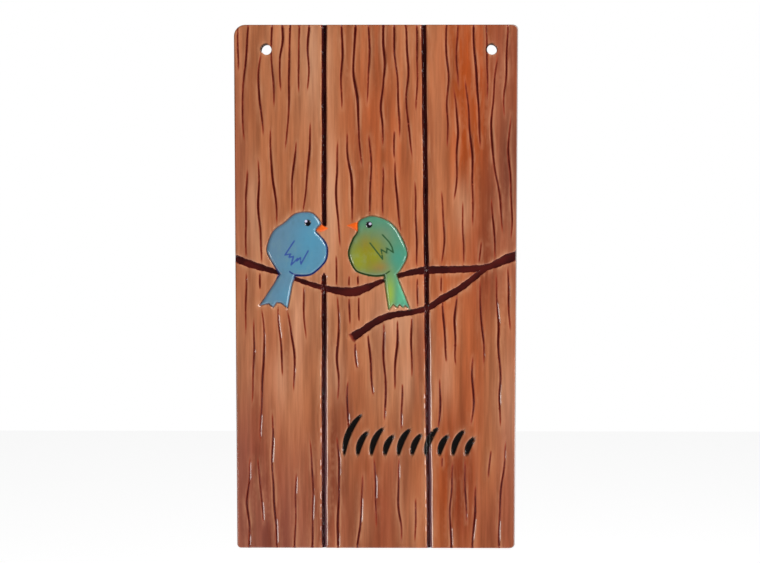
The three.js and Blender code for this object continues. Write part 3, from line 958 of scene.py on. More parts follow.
rings_end = rim_count * len(rim_rings)
hole_starts = [rings_end + number * len(hole_insets) * hole_sides for number in range(len(holes))]
edges = loop_edges(0, rim_count)
for start in hole_starts:
    edges += loop_edges(start, hole_sides)


def triangulate(spots, edges, ring_starts):
    """Triangles between the spots, without flat ones and those that only join points of one hole's ring."""
    corners = [Vector(spot) for spot in spots]
    _, _, faces, origins, _, _ = delaunay_2d_cdt(corners, edges, [], 0, join_tolerance)
    source = [origin[0] for origin in origins]
    triangles = np.array([[source[corner] for corner in face] for face in faces])
    sides = np.roll(spots[triangles], -1, axis=1) - spots[triangles]
    kept = sides[:, 0, 0] * sides[:, 1, 1] - sides[:, 0, 1] * sides[:, 1, 0] > flat_limit
    for start in ring_starts:
        on_ring = (triangles >= start) & (triangles < start + hole_sides)
        kept &= ~on_ring.all(axis=1)
    return triangles[kept]


front_faces = triangulate(front_spots, edges, hole_starts)
print(f"{len(front_spots)} points and {len(front_faces)} triangles on the front")

# %% [markdown]
# ## Height and direction
# Each point of the front gets its height, and the direction that stands square on the carved surface there.
# That direction is measured from the heights a hair's breadth away, so fine slopes shade cleanly.

# %% Heights and normals of the front
front_heights, front_paint = carve(front_spots)
small_step = 0.04


def slope_normals(spots):
    """Directions that stand square on the carved surface."""
    slopes = []
    for axis in (0, 1):
        shift = np.zeros(2)
        shift[axis] = small_step
        slopes.append((carve(spots + shift)[0] - carve(spots - shift)[0]) / (2 * small_step))
    normals = np.column_stack([-slopes[0], -np.ones(len(spots)), -slopes[1]])
    return normals / np.linalg.norm(normals, axis=1)[:, None]


front_normals = slope_normals(front_spots)
rim_outward = rim_rings[0][1]
rim_outward = rim_outward / np.hypot(rim_outward[:, 0], rim_outward[:, 1])[:, None]
flat_out = np.column_stack([rim_outward[:, 0], np.zeros(rim_count), rim_outward[:, 1]])
into_hole = np.column_stack([-hole_circle[:, 0], np.zeros(hole_sides), -hole_circle[:, 1]])
front_normals[:rim_count] = flat_out
for start in hole_starts:
    front_normals[start:start + hole_sides] = into_hole
print(f"heights from {front_heights.min():.2f} to {front_heights.max():.2f} mm")

# %% [markdown]
# ## Sides, back and hole walls
# The sides go down from the rounded front edge to a rounded back edge. The back is plain and flat, because
# it lies on the wall. The two holes go straight through, and widen a little towards the back.

# %% Rings and walls
points = [np.column_stack([front_spots[:, 0], -front_heights, front_spots[:, 1]])]
normals = [front_normals]
faces = [tuple(face) for face in front_faces.tolist()]
face_kinds = ["front"] * len(faces)


def add_points(spots, heights, directions):
    """Add a ring or sheet of points and say where it starts."""
    first = sum(map(len, points))
    points.append(np.column_stack([spots[:, 0], -heights, spots[:, 1]]))
    normals.append(directions)
    return first


def add_wall(upper, lower, count, kind, inward=False):
    """Four-sided faces between two rings."""
    for number in range(count):
        after = (number + 1) % count
        face = (upper + number, lower + number, lower + after, upper + after)
        faces.append(face[::-1] if inward else face)
        face_kinds.append(kind)


print(f"{len(faces)} faces before the walls")

# %% [markdown]
# The glaze laps over a side near its front edge, so the rings of the side lie closer together there. The
# last rings round its back edge.

# %% The four sides
side_shares = (0.06, 0.13, 0.2, 0.27, 0.34, 0.45, 0.72, 1.0)
rim_heights = front_heights[:rim_count]
upper = 0
for share in side_shares:
    heights = rim_heights * (1 - share) + arris * share
    lower = add_points(rim_rings[0][0], heights, flat_out)
    add_wall(upper, lower, rim_count, "side")
    upper = lower
for (ring, _), inset in list(zip(rim_rings, rim_insets))[1:]:
    drop = arris + round_over(np.array([inset]), arris)[0]
    lean = drop / arris
    sideways = math.sqrt(1 - lean ** 2)
    turned = flat_out * sideways
    turned[:, 1] = lean
    lower = add_points(ring, np.full(rim_count, arris - drop), turned)
    add_wall(upper, lower, rim_count, "side")
    upper = lower
back_rim = upper
print(f"{len(faces)} faces with the sides")

# %% [markdown]
# A hole was pushed through the soft clay from the front, so it is a little wider at the back. A small slope
# leads to the back face.

# %% The walls of the holes
hole_back_rim = 0.25
bore_levels = ((6.6, 2.69), (4.6, 2.75), (2.6, 2.85), (hole_back_rim, wall_radius))


def straight_back(count):
    """The direction out of the back, for a number of points."""
    return np.tile([0.0, 1.0, 0.0], (count, 1))


bore_starts = list(hole_starts)
back_holes = []
for hole, start in zip(holes, hole_starts):
    upper = start
    for level, radius in bore_levels:
        lower = add_points(hole + radius * hole_circle, np.full(hole_sides, level), into_hole)
        add_wall(upper, lower, hole_sides, "bore", inward=True)
        bore_starts.append(lower)
        upper = lower
    ring = hole + (wall_radius + hole_back_rim) * hole_circle
    lower = add_points(ring, np.zeros(hole_sides), straight_back(hole_sides))
    add_wall(upper, lower, hole_sides, "hole", inward=True)
    back_holes.append((lower, ring))
print(f"{len(faces)} faces with the holes")

# %% [markdown]
# The back needs few points: its outline, the rims of its holes and a wide grid. It shares the points of the
# walls, so the tile is closed.

# %% The back
back_step = 9
grid_clearance = 2
back_grid = grid_points(back_step, (left_edge, bottom_edge), (right_edge, top_edge), 13)
clear_of_edge = edge_distance(back_grid) > arris + grid_clearance
back_grid = back_grid[clear_of_edge & (hole_distance(back_grid) > grid_clearance)]
back_spots = np.vstack([rim_rings[-1][0]] + [ring for _, ring in back_holes] + [back_grid])
back_hole_starts = [rim_count + number * hole_sides for number in range(len(back_holes))]
back_edges = loop_edges(0, rim_count)
for start in back_hole_starts:
    back_edges += loop_edges(start, hole_sides)
back_faces = triangulate(back_spots, back_edges, back_hole_starts)
grid_first = add_points(back_grid, np.zeros(len(back_grid)), straight_back(len(back_grid)))
back_parts = [(back_rim, rim_count)] + [(first, hole_sides) for first, _ in back_holes]
back_parts.append((grid_first, len(back_grid)))
back_index = np.concatenate([np.arange(first, first + count) for first, count in back_parts])
for face in back_index[back_faces].tolist():
    faces.append(tuple(face[::-1]))
    face_kinds.append("back")
all_points = np.vstack(points) * MM
all_normals = np.vstack(normals)
print(f"{len(all_points)} points and {len(faces)} faces in the closed tile")

# %% [markdown]
# ## Paint
# The wood was painted with a few earthy glazes, wiped on in soft patches: light tan, orange, umber and a
# mauve brown. Each patch here is a colour, its middle, how far it reaches across and down (all in percent of
# the tile), and how strongly it covers what lies under it.

# %% Broad patches of colour


def linear(red, green, blue):
    """A colour as seen on a screen, from 0 to 255, as the light that it reflects."""
    shares = np.array([red, green, blue]) / 255
    return np.where(shares <= 0.04045, shares / 12.92, ((shares + 0.055) / 1.055) ** 2.4)


wood = linear(158, 94, 60)
tan = linear(175, 120, 87)
pale = linear(190, 142, 112)
orange = linear(160, 70, 30)
rust = linear(118, 44, 20)
umber = linear(110, 46, 27)
mauve = linear(128, 64, 54)
deep_orange = linear(147, 57, 8)
walnut = linear(122, 57, 38)
russet = linear(106, 42, 28)
dusk = linear(92, 40, 34)
lower_mauve = linear(116, 60, 50)
# Many dark patches lie low on the tile, so the wood is darker towards the bottom.
patches = [
    (tan, 27, 9, 5, 12, 0.7), (tan, 18, 3, 8, 4, 0.25), (mauve, 1, 30, 3, 22, 0.4),
    (tan, 7, 42, 7, 7, 0.6), (tan, 30, 43, 5, 12, 0.5), (walnut, 12, 62, 7, 8, 0.25),
    (lower_mauve, 12, 98, 24, 20, 0.9), (lower_mauve, 3, 84, 8, 18, 0.8), (walnut, 8, 75, 5, 6, 0.5),
    (tan, 18, 70, 7, 8, 0.35), (tan, 17, 52, 10, 5, 0.3), (tan, 27, 58, 3.5, 9, 0.4),
    (walnut, 30, 90, 3, 12, 0.6),
    (tan, 33, 7, 2.5, 8, 0.5), (tan, 33.5, 40, 2.5, 20, 0.5), (orange, 49, 19, 8, 18, 0.6),
    (umber, 53, 2, 2.8, 6, 0.7), (orange, 57, 24, 4, 16, 0.3), (tan, 48, 52, 14, 6, 0.35),
    (tan, 54, 66, 9, 9, 0.55), (dusk, 35.5, 84, 3.4, 13, 0.6), (walnut, 36, 96, 5, 10, 0.5),
    (walnut, 50, 96, 12, 12, 0.8), (rust, 50, 90, 3, 8, 0.5), (tan, 60.5, 58, 3, 6, 0.5),
    (mauve, 66, 60, 1.6, 8, 0.5), (tan, 64, 96, 2.5, 6, 0.4),
    (tan, 72.5, 12, 3, 22, 0.5), (deep_orange, 82.5, 9, 10.5, 21, 0.95), (walnut, 93, 6, 6, 13, 0.8),
    (russet, 91.5, 30, 5, 17, 0.75), (dusk, 97.5, 28, 4, 14, 0.9), (walnut, 89, 46, 6, 10, 0.85),
    (walnut, 97.5, 47, 4, 9, 0.6),
    (pale, 81, 34, 3, 5, 0.6), (tan, 81, 34, 3, 4, 0.6), (deep_orange, 72.5, 55, 4, 11, 0.65),
    (deep_orange, 75, 90, 4, 14, 0.7), (orange, 64, 44, 5, 12, 0.3), (deep_orange, 81.5, 23, 4, 8, 0.75),
    (deep_orange, 86, 13, 5, 15, 0.5), (russet, 98, 5, 4, 8, 0.6), (umber, 98, 26, 4, 14, 0.35),
    (mauve, 98.5, 80, 4, 22, 0.4), (pale, 99, 85, 3, 18, 0.25), (tan, 2, 60, 5, 13, 0.55),
    (tan, 46.5, 95, 3, 6, 0.5), (tan, 62, 56, 4, 5, 0.4),
    (orange, 77, 48, 10, 10, 0.35), (orange, 84, 66, 5, 14, 0.5), (pale, 97, 74, 3, 9, 0.5),
    (tan, 70.5, 62, 2.5, 12, 0.4), (tan, 94, 70, 5, 10, 0.35), (rust, 82, 89, 6, 15, 0.85),
    (walnut, 93, 97, 8, 9, 0.7), (rust, 76, 80, 3.5, 8, 0.5),
    (pale, 27.7, 5, 2, 8, 0.5), (pale, 34, 33, 2.2, 10, 0.6), (pale, 6.4, 34, 2.5, 8, 0.5),
    (pale, 22, 58, 2.4, 8, 0.55), (pale, 56, 56, 6, 5, 0.5), (pale, 16, 67, 2.5, 5, 0.45),
    (pale, 61, 68, 2.5, 5, 0.45), (pale, 75, 67, 2.5, 5, 0.4), (pale, 36, 66, 3.5, 5, 0.4),
    (walnut, 7, 84, 3, 12, 0.5), (walnut, 57.5, 84, 4.5, 8, 0.6), (walnut, 96.5, 86, 3.5, 14, 0.7),
    (walnut, 26, 84, 5, 6, 0.4), (rust, 34.2, 82, 2, 8, 0.5), (rust, 79.5, 90, 3, 9, 0.6),
    (walnut, 24, 95, 6, 6, 0.4), (walnut, 39.5, 75, 2.4, 5, 0.7),
]
colours = np.tile(wood, (len(all_points), 1))
face_spots = all_points[:, [0, 2]] / MM
for colour, across, down, spread_across, spread_down, cover in patches:
    middle = np.array(place(across, down))
    spread = np.array([spread_across * tile_width, spread_down * tile_height]) / 100
    away = np.sum(((face_spots - middle) / spread) ** 2, axis=1)
    amount = cover * np.exp(-away)
    colours = colours * (1 - amount[:, None]) + colour * amount[:, None]
print(f"{len(patches)} patches on the wood")

# %% [markdown]
# The birds are painted the same way, in percent of their own height from their middle. The first patch of
# each lays its ground colour all over it.

# %% Colours of the birds
blue_front = linear(75, 133, 160)
blue_back = linear(90, 120, 141)
green_head = linear(68, 130, 106)
belly_olive = linear(126, 118, 27)
belly_yellow = linear(133, 138, 36)
ochre = linear(150, 104, 44)
smoky = linear(112, 124, 112)
teal = linear(64, 136, 116)
tail_yellow = linear(140, 164, 60)
tail_green = linear(90, 170, 130)
bird_patches = [
    [
        (blue_back, 0, 0, 200, 200, 1), (blue_front, 24, 6, 34, 50, 0.95),
        (blue_front, 8, -36, 40, 18, 0.6), (blue_front, -14, -84, 22, 22, 0.6),
    ],
    [
        (green_head, 0, 0, 200, 200, 1), (smoky, 12, 20, 16, 16, 0.35),
        (belly_olive, -14, -14, 35, 37, 0.99), (belly_olive, -22, -14, 24, 30, 0.7),
        (belly_yellow, -34, -24, 17, 22, 0.8), (belly_yellow, -4, -16, 10, 16, 0.5),
        (ochre, 5, -36, 15, 9, 0.6), (ochre, -22, 4, 6, 16, 0.2), (teal, 34, -20, 15, 22, 0.85),
        (tail_yellow, 20, -80, 10, 30, 0.95), (tail_green, 40, -84, 9, 24, 0.8),
    ],
]
paint_radius, paint_half_width = 45, 22
bird_colours = np.tile(wood, (len(all_points), 1))
for bird, own_patches in zip(birds, bird_patches):
    from_bird = face_spots - bird["middle"]
    on_this_bird = np.hypot(*from_bird.T) < paint_radius
    on_this_bird &= np.abs(from_bird[:, 0]) < paint_half_width
    relative = from_bird / bird["scale"]
    for colour, right, up, spread_right, spread_up, cover in own_patches:
        away = ((relative[:, 0] - right) / spread_right) ** 2 + ((relative[:, 1] - up) / spread_up) ** 2
        amount = np.where(on_this_bird, 1.0 if cover == 1 else cover * np.exp(-away), 0)
        bird_colours = bird_colours * (1 - amount[:, None]) + colour * amount[:, None]
print(f"{sum(map(len, bird_patches))} patches on the birds")

# %% [markdown]
# ## The mesh
# The points, faces and directions become one mesh. Each paint is stored as a number for every point, so the
# glaze can read it there. Two paints go past the front: the painted hole shadow runs on down the hole walls,
# and the glaze laps over the side edges in an uneven line, as it does where it ran before firing.

# %% Build the mesh
mesh = bpy.data.meshes.new("glazed_tile")
mesh.from_pydata(all_points.tolist(), [], faces)
mesh.polygons.foreach_set("use_smooth", [True] * len(faces))
front_count = len(front_spots)


def store(name, values, kind="FLOAT"):
    """Keep a value or a colour for every point of the mesh."""
    attribute = mesh.attributes.new(name, kind, "POINT")
    if kind == "FLOAT":
        attribute.data.foreach_set("value", np.asarray(values, np.float32))
    else:
        full = np.column_stack([values, np.ones(len(values))]).astype(np.float32)
        attribute.data.foreach_set("color", full.ravel())


# The painted shadow goes on down the upper left of each hole's wall.
shadow_in_hole = 0.85 * rise(hole_circle @ upper_left, 0.1, 0.6)
for name, values in front_paint.items():
    whole = np.zeros(len(all_points))
    whole[:front_count] = values
    if name == "ink_and_shadow":
        for first in bore_starts:
            whole[first:first + hole_sides] = shadow_in_hole
    store(name, whole)
store("right_bird", rise(face_spots[:, 0], -23, -19))
lap_least, lap_more, lap_softness = 0.3, 1.6, 0.3
run_round = np.arctan2(face_spots[:, 1] - face_middle[1], face_spots[:, 0] - face_middle[0])
drips = 0.5 + 0.3 * np.sin(run_round * 23) + 0.25 * np.sin(run_round * 57 + 2)
drips *= 1 - rise(face_spots[:, 0], right_edge - 1.5, right_edge - 0.2)
lap_end = face_height - arris - lap_least - lap_more * np.maximum(drips, 0)
lap = rise(-all_points[:, 1] / MM, lap_end - lap_softness, lap_end + lap_softness)
store("lap", np.where(drips > 0, lap, 0))
store("wood_paint", colours, "FLOAT_COLOR")
store("bird_paint", bird_colours, "FLOAT_COLOR")
mesh.normals_split_custom_set_from_vertices(all_normals.tolist())
tile = bpy.data.objects.new("glazed_tile", mesh)
bpy.context.scene.collection.objects.link(tile)
mesh.validate()
print(f"{len(mesh.polygons)} faces, attributes: {[a.name for a in mesh.attributes][:6]} and more")

# %% [markdown]
# ## A flat map for the paint
# Anyone who wants to keep the finish as a picture needs a map without overlaps. The front takes most of it,
# laid flat, with the back beside it and the sides as narrow strips.

# %% Places on the map
atlas = mesh.uv_layers.new(name="OFBake")
front_scale = 0.97 / tile_height
back_scale = 0.42 / tile_width
strip_scale = 0.42 / tile_height
margin = 0.012
strip_gap = 0.02
row_height = 0.024
row_start, wall_row_start = 0.004, 0.006
wall_stretch = 2
hole_apart = 0.2
back_left = margin * 3 + tile_width * front_scale
strip_bottom = margin + back_scale * tile_height + strip_gap
print(f"the back starts at {back_left:.2f} across, the strips at {strip_bottom:.2f} up")

# %% [markdown]
# Every corner of every face has its own place on the map. Where it goes depends on the kind of its face and
# on the middle of that face, so that no face is torn apart.

# %% Which face each corner belongs to
loops = np.zeros(len(mesh.loops), int)
mesh.loops.foreach_get("vertex_index", loops)
loop_totals = np.zeros(len(mesh.polygons), int)
mesh.polygons.foreach_get("loop_total", loop_totals)
kind_of_loop = np.repeat(np.array(face_kinds), loop_totals)
spots = all_points[loops][:, [0, 2]] / MM
depths = -all_points[loops][:, 1] / MM
face_of_loop = np.repeat(np.arange(len(loop_totals)), loop_totals)
middles = np.zeros((len(loop_totals), 2))
np.add.at(middles, face_of_loop, spots)
middles /= loop_totals[:, None]
middle_of_loop = middles[face_of_loop]
print(f"{len(loops)} corners of faces to place")

# %% [markdown]
# A side is unrolled along its edge, so each of the four gets its own row. The wall of a hole is unrolled
# round its middle, in a last row.

# %% Map the surface
flat = np.zeros((len(loops), 2))
from_corner = spots - [left_edge, bottom_edge]
front = kind_of_loop == "front"
flat[front] = margin + from_corner[front] * front_scale
back = kind_of_loop == "back"
flat[back] = np.array([back_left, margin]) + from_corner[back] * back_scale
from_middle = middle_of_loop - face_middle
half = np.array([tile_width, tile_height]) / 2
upright = half[0] - np.abs(from_middle[:, 0]) < half[1] - np.abs(from_middle[:, 1])
row = np.where(upright, np.where(from_middle[:, 0] < 0, 0, 1), np.where(from_middle[:, 1] < 0, 2, 3))
run = np.where(upright, from_corner[:, 1], from_corner[:, 0])
past_edge = np.abs(spots - face_middle) - half
lift = np.where(upright, past_edge[:, 0], past_edge[:, 1])
strip_up = strip_bottom + row * row_height + (depths - lift) * strip_scale + row_start
side = kind_of_loop == "side"
flat[side] = np.column_stack([back_left + run * strip_scale, strip_up])[side]
which = np.where(middle_of_loop[:, 0] < 0, 0, 1)
centre = holes[which]
turn = np.arctan2(middle_of_loop[:, 1] - centre[:, 1], middle_of_loop[:, 0] - centre[:, 0])
own = np.arctan2(spots[:, 1] - centre[:, 1], spots[:, 0] - centre[:, 0])
own = turn + np.mod(own - turn + math.pi, 2 * math.pi) - math.pi
outward = np.hypot(*(spots - centre).T) - hole_radius
wall_scale = strip_scale * wall_stretch
wall_across = back_left + strip_gap + which * hole_apart + (own + math.pi) * hole_radius * wall_scale
wall_up = strip_bottom + 4 * row_height + wall_row_start + (depths - outward) * wall_scale
around = (kind_of_loop == "hole") | (kind_of_loop == "bore")
flat[around] = np.column_stack([wall_across, wall_up])[around]
atlas.data.foreach_set("uv", flat.astype(np.float32).ravel())
print("map from", flat.min(axis=0).round(3).tolist(), "to", flat.max(axis=0).round(3).tolist())

# %% [markdown]
# ## The glaze
# The paint is matt colour under a clear, hard gloss. Brushwork runs along the planks, so the noise that
# varies it is stretched upwards. A few helpers keep the node work readable: each adds one kind of node and
# hands back its result.

# %% Helpers for nodes


def new_material(name):
    material = bpy.data.materials.new(name)
    material.use_nodes = True
    tree = material.node_tree
    return material, tree, tree.nodes["Principled BSDF"]


def add_node(tree, kind, **settings):
    """A node with its settings; names of sockets are written with underscores for spaces."""
    made = tree.nodes.new(kind)
    for name, value in settings.items():
        if hasattr(made, name):
            setattr(made, name, value)
        else:
            made.inputs[name.replace("_", " ")].default_value = value
    return made


def mix_colours(tree, share, under, over):
    """Lay one colour over another: each may be a fixed colour or a socket."""
    made = add_node(tree, "ShaderNodeMix", data_type="RGBA")
    for socket, value in ((made.inputs[0], share), (made.inputs[6], under), (made.inputs[7], over)):
        if isinstance(value, bpy.types.NodeSocket):
            tree.links.new(value, socket)
        elif np.ndim(value):
            socket.default_value = (*value, 1)
        else:
            socket.default_value = value
    return made.outputs[2]


def sums(tree, operation, *values, clamp=False):
    """A small sum with fixed numbers or sockets."""
    made = add_node(tree, "ShaderNodeMath", operation=operation, use_clamp=clamp)
    for socket, value in zip(made.inputs, values):
        if isinstance(value, bpy.types.NodeSocket):
            tree.links.new(value, socket)
        else:
            socket.default_value = value
    return made.outputs[0]


def shade(tree, colour, factor):
    """The same colour, lighter or darker by a factor."""
    made = add_node(tree, "ShaderNodeVectorMath", operation="SCALE")
    tree.links.new(colour, made.inputs[0])
    tree.links.new(factor, made.inputs["Scale"])
    return made.outputs[0]


def noise(tree, stretch, detail=4, roughness=0.55, shift=0.0):
    """Cloudy noise on the object's own place, stretched by three numbers in patches a metre."""
    place_node = add_node(tree, "ShaderNodeTexCoord")
    mapping = add_node(tree, "ShaderNodeMapping")
    mapping.inputs["Scale"].default_value = stretch
    mapping.inputs["Location"].default_value = (shift, shift, shift)
    cloud = add_node(tree, "ShaderNodeTexNoise", Scale=1, Detail=detail, Roughness=roughness)
    tree.links.new(place_node.outputs["Object"], mapping.inputs["Vector"])
    tree.links.new(mapping.outputs["Vector"], cloud.inputs["Vector"])
    return cloud.outputs["Fac"]


def band(tree, value, start, end, low_value=0.0, high_value=1.0):
    """Spread a stretch of values over another, and keep to it."""
    made = add_node(tree, "ShaderNodeMapRange", interpolation_type="SMOOTHSTEP", From_Min=start,
                    From_Max=end, To_Min=low_value, To_Max=high_value)
    tree.links.new(value, made.inputs["Value"])
    return made.outputs["Result"]


def stored(tree, name, output="Fac"):
    return add_node(tree, "ShaderNodeAttribute", attribute_name=name).outputs[output]


print("node helpers ready")

# %% [markdown]
# The wood is its broad patches, varied by streaks at three scales. Where the glaze ran off an edge the tan
# shows, scuffed. Thin glaze over a crack or in a groove is red-brown, and thick glaze is nearly black.

# %% The painted wood
rim_tan = linear(197, 142, 106)
thin_in_crack, thick_in_crack = linear(132, 54, 36), linear(72, 20, 15)
groove_wall, groove_floor, groove_pool = linear(122, 48, 34), linear(74, 22, 19), linear(56, 16, 15)
# A painted reflection, laid on the right walls of the gaps low down.
mauve_reflection = linear(152, 108, 114)
# Black for the ink of the strokes, and for the painted shadow in the holes.
black_ink_and_shadow = linear(16, 13, 12)
glaze, tree, shader = new_material("painted_glaze")
streaks = noise(tree, (190, 190, 14), detail=2.5)
fine_streaks = noise(tree, (700, 700, 40), detail=2, shift=5)
broad_streaks = noise(tree, (75, 75, 8), detail=2, shift=9)
colour = stored(tree, "wood_paint", "Color")
colour = mix_colours(tree, band(tree, broad_streaks, 0.5, 0.7, 0, 0.08), colour, tan)
colour = mix_colours(tree, band(tree, broad_streaks, 0.5, 0.32, 0, 0.25), colour, rust)
colour = mix_colours(tree, band(tree, streaks, 0.52, 0.7, 0, 0.06), colour, pale)
colour = mix_colours(tree, band(tree, streaks, 0.48, 0.3, 0, 0.2), colour, umber)
colour = shade(tree, colour, band(tree, streaks, 0.32, 0.68, 0.89, 1.15))
colour = shade(tree, colour, band(tree, fine_streaks, 0.3, 0.7, 0.89, 1.1))
scuffs = noise(tree, (430, 430, 60), detail=4, shift=12)
halo_share = sums(tree, "MULTIPLY", stored(tree, "halo"), band(tree, scuffs, 0.42, 0.62, 0.2, 1.0))
colour = mix_colours(tree, halo_share, colour, rim_tan)
speckle = noise(tree, (520, 520, 260), detail=4, shift=3)
crack_share = sums(tree, "MULTIPLY", stored(tree, "crack"), band(tree, speckle, 0.25, 0.6, 0.75, 1.0))
colour = mix_colours(tree, band(tree, crack_share, 0, 0.5), colour, thin_in_crack)
colour = mix_colours(tree, band(tree, crack_share, 0.35, 0.85), colour, thick_in_crack)
colour = mix_colours(tree, band(tree, stored(tree, "groove"), 0, 0.5), colour, groove_wall)
pooling = noise(tree, (90, 90, 70), detail=1, shift=17)
deep_colour = mix_colours(tree, band(tree, pooling, 0.4, 0.6), groove_floor, groove_pool)
colour = mix_colours(tree, band(tree, stored(tree, "groove"), 0.4, 1), colour, deep_colour)
# The painted reflection on the gaps' right walls.
colour = mix_colours(tree, stored(tree, "painted_reflection"), colour, mauve_reflection)
colour = mix_colours(tree, stored(tree, "ink_and_shadow"), colour, black_ink_and_shadow)
print("nodes for the wood:", len(tree.nodes))

# %% [markdown]
# The birds lie over the wood. Cloudy noise lightens and darkens them like feathers, and their drawn lines,
# beaks and eyes come last, with the strip of bare clay at the right edge, painted grey as it looks in shade.

# %% The painted birds
light_feathers, dark_feathers = linear(122, 152, 132), linear(66, 98, 100)
left_outline, right_outline = linear(34, 52, 110), linear(46, 72, 38)
left_wing, right_wing = linear(52, 74, 140), linear(38, 74, 44)
# The last is the bare clay at the right edge, in a grey painted as it looks in shade.
details = {
    "beak": linear(220, 92, 26), "eye": linear(14, 12, 16), "glint": linear(196, 190, 215),
    "bare_clay_in_shade": linear(158, 148, 144),
}
feathers = noise(tree, (240, 240, 150), detail=3, shift=14)
bird_colour = stored(tree, "bird_paint", "Color")
bird_colour = mix_colours(tree, band(tree, feathers, 0.5, 0.8, 0, 0.2), bird_colour, light_feathers)
bird_colour = mix_colours(tree, band(tree, feathers, 0.5, 0.25, 0, 0.2), bird_colour, dark_feathers)
either_bird = sums(tree, "MAXIMUM", stored(tree, "blue"), stored(tree, "green"))
colour = mix_colours(tree, either_bird, colour, bird_colour)
line_colour = mix_colours(tree, stored(tree, "right_bird"), left_outline, right_outline)
colour = mix_colours(tree, stored(tree, "line"), colour, line_colour)
wing_colour = mix_colours(tree, stored(tree, "right_bird"), left_wing, right_wing)
colour = mix_colours(tree, stored(tree, "wing"), colour, wing_colour)
for name, detail_colour in details.items():
    colour = mix_colours(tree, stored(tree, name), colour, detail_colour)
tree.links.new(colour, shader.inputs["Base Color"])
print("nodes for the wood and the birds:", len(tree.nodes))

# %% [markdown]
# The clear gloss over it is a little rippled. The dark stain in the cracks hardly shines, because it is
# rough with dirt, so those faces get a second glaze that differs only in its low shine.

# %% Gloss, and the dull stain of the cracks
dull_shine = 0.06
tree.links.new(band(tree, broad_streaks, 0.3, 0.7, 0.09, 0.16), shader.inputs["Roughness"])
shader.inputs["IOR"].default_value = 1.5
ripple = add_node(tree, "ShaderNodeBump", Strength=0.25, Distance=0.0001)
tree.links.new(noise(tree, (300, 300, 120), detail=2, shift=21), ripple.inputs["Height"])
tree.links.new(ripple.outputs["Normal"], shader.inputs["Normal"])
dull_stain = glaze.copy()
dull_stain.name = "dull_stain"
dull_stain.node_tree.nodes["Principled BSDF"].inputs["Specular IOR Level"].default_value = dull_shine
print("glaze nodes:", len(tree.nodes))

# %% [markdown]
# ## Bare clay
# The back and most of the sides were never glazed. Fired clay is pale, matt and faintly grainy, with a few
# specks. Only where the glaze laps over the side edges does it shine in the colours of the wood. The walls
# of the holes took glaze from the front.

# %% Bisque on the sides and back
pale_clay, paler_clay = linear(190, 178, 162), linear(201, 190, 175)
clay_grain, clay_speck = linear(168, 152, 134), linear(140, 116, 98)
bisque, tree, shader = new_material("bare_bisque")
grain = noise(tree, (900, 900, 900), detail=5)
blotches = noise(tree, (45, 45, 45), detail=3, shift=4)
specks = noise(tree, (1500, 1500, 1500), detail=1, shift=8)
colour = mix_colours(tree, band(tree, blotches, 0.35, 0.65), pale_clay, paler_clay)
colour = mix_colours(tree, band(tree, grain, 0.5, 0.8, 0, 0.3), colour, clay_grain)
colour = mix_colours(tree, band(tree, specks, 0.7, 0.76, 0, 0.6), colour, clay_speck)
colour = mix_colours(tree, stored(tree, "lap"), colour, stored(tree, "wood_paint", "Color"))
tree.links.new(colour, shader.inputs["Base Color"])
tree.links.new(band(tree, stored(tree, "lap"), 0, 1, 0.85, 0.15), shader.inputs["Roughness"])
pits = add_node(tree, "ShaderNodeBump", Strength=0.4, Distance=0.0001)
tree.links.new(grain, pits.inputs["Height"])
tree.links.new(pits.outputs["Normal"], shader.inputs["Normal"])
print("bisque nodes:", len(tree.nodes))

# %% [markdown]
# Each face takes its finish from what it is part of. A face of the front takes the dull stain where crack
# paint covers enough of it.

# %% Give each face its finish
stained_share = 0.3
for finish in (glaze, bisque, dull_stain):
    mesh.materials.append(finish)
finish_of = {"front": 0, "bore": 0, "side": 1, "back": 1, "hole": 1}
finishes = np.array([finish_of[kind] for kind in face_kinds])
stained = front_paint["crack"][front_faces].mean(axis=1) > stained_share
finishes[:len(front_faces)][stained] = 2
mesh.polygons.foreach_set("material_index", finishes)
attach(tile, "root")
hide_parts("plaque_tile")
print(f"{int(stained.sum())} faces take the dull stain")

# %% [markdown]
# ## The floor
# The floor is plain and pale, well below the tile, and shines a little of its own so that it stays white.

# %% The floor
floor_drop = 0.35
floor_half, floor_front, floor_back = 2.5, -0.5, 2.5
floor_mesh = bpy.data.meshes.new("floor")
floor_level = low[2] - floor_drop
floor_corners = [(-floor_half, floor_front, floor_level), (floor_half, floor_front, floor_level),
                 (floor_half, floor_back, floor_level), (-floor_half, floor_back, floor_level)]
floor_mesh.from_pydata(floor_corners, [], [(0, 1, 2, 3)])
floor = bpy.data.objects.new("floor", floor_mesh)
bpy.context.scene.collection.objects.link(floor)
pale_floor, tree, shader = new_material("pale_floor")
shader.inputs["Base Color"].default_value = (0.9, 0.9, 0.9, 1)
shader.inputs["Roughness"].default_value = 0.9
shader.inputs["Emission Color"].default_value = (1, 1, 1, 1)
shader.inputs["Emission Strength"].default_value = 0.62
floor_mesh.materials.append(pale_floor)
print("floor at", round(floor_level, 3))

# %% [markdown]
# ## Light
# White surroundings light the tile softly. Two lamps stand on its right, low and high, and one low on its
# left, so that they glint on the slopes of the carving but not on its flats. A wide lamp above and in front
# fills in the colours, and isn't seen in the gloss.

# %% Light
world = bpy.data.worlds.new("studio")
world.use_nodes = True
bpy.context.scene.world = world
tree = world.node_tree
background = tree.nodes["Background"]
background.inputs["Color"].default_value = (1, 1, 1, 1)
ray = add_node(tree, "ShaderNodeLightPath")
seen = sums(tree, "MULTIPLY", ray.outputs["Is Camera Ray"], 1.0)
diffuse = sums(tree, "MULTIPLY", ray.outputs["Is Diffuse Ray"], 0.34)
glossy = sums(tree, "MULTIPLY", ray.outputs["Is Glossy Ray"], 0.05)
strength = sums(tree, "ADD", sums(tree, "ADD", seen, diffuse), glossy)
tree.links.new(strength, background.inputs["Strength"])
tile_middle = Vector((0, 0, (low[2] + high[2]) / 2))


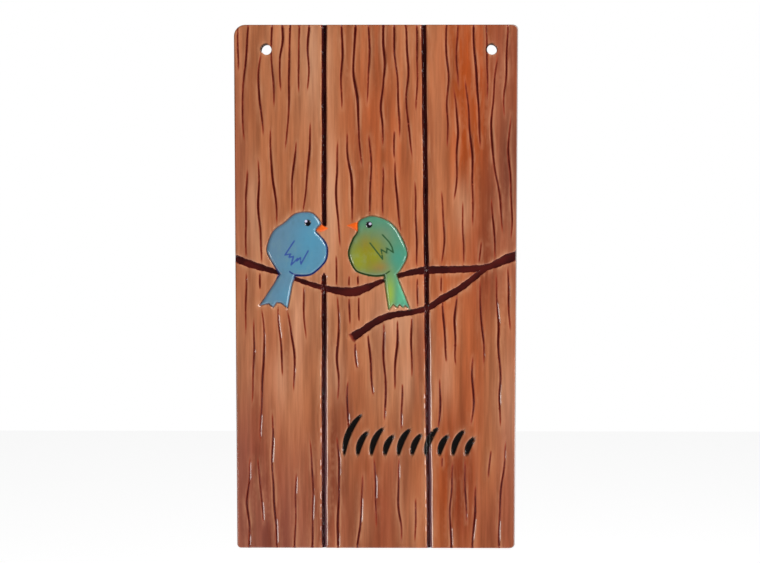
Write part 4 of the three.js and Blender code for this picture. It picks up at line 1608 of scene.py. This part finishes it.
def add_lamp(name, place_from_tile, size_across, size_up, power, shows_in_gloss=True):
    """A soft rectangular lamp that faces the tile."""
    lamp = bpy.data.lights.new(name, "AREA")
    lamp.shape = "RECTANGLE"
    lamp.size = size_across
    lamp.size_y = size_up
    lamp.energy = power
    held = bpy.data.objects.new(name, lamp)
    held.location = tile_middle + Vector(place_from_tile)
    held.rotation_euler = (tile_middle - held.location).to_track_quat("-Z", "Y").to_euler()
    held.visible_glossy = shows_in_gloss
    held.visible_camera = False
    bpy.context.scene.collection.objects.link(held)
    return held


add_lamp("low_right_lamp", (1.0, -0.7, -0.32), 0.45, 0.24, 3.6)
add_lamp("high_right_lamp", (0.8, -0.6, 0.58), 0.4, 0.6, 12.5)
add_lamp("low_left_lamp", (-1.0, -0.7, -0.34), 0.42, 0.36, 4.6)
add_lamp("fill_lamp", (0.1, -1.3, 1.0), 1.2, 0.8, 2.5, shows_in_gloss=False)
bpy.context.scene.view_settings.view_transform = "Standard"
print("four lamps")

# %% [markdown]
# ## Camera
# The camera stands where the photograph was taken: a little right of and above the middle, 0.8 m away. The
# shift of its picture puts the tile's middle where it is in the photograph.

# %% Camera
photo_width, photo_height = 760, 563
tile_centre_in_photo = (375.9, 289.8)
distance = 0.8
azimuth = math.radians(0.5)
elevation = math.radians(4)
sensor_mm, lens_mm = 36, 71.18
camera_data = bpy.data.cameras.new("camera")
camera_data.sensor_width = sensor_mm
camera_data.lens = lens_mm
camera = bpy.data.objects.new("camera", camera_data)
aim = Vector((0, low[1], tile_middle.z))
level_part = math.cos(elevation)
direction = Vector((math.sin(azimuth) * level_part, -math.cos(azimuth) * level_part, math.sin(elevation)))
camera.location = aim + distance * direction
camera.rotation_euler = direction.to_track_quat("Z", "Y").to_euler()
camera_data.shift_x = (photo_width / 2 - tile_centre_in_photo[0]) / photo_width
camera_data.shift_y = (tile_centre_in_photo[1] - photo_height / 2) / photo_width
bpy.context.scene.collection.objects.link(camera)
bpy.context.scene.camera = camera
print("camera at", [round(value, 3) for value in camera.location])

# %% [markdown]
# ## The end

# %% The end
bpy.context.view_layer.update()
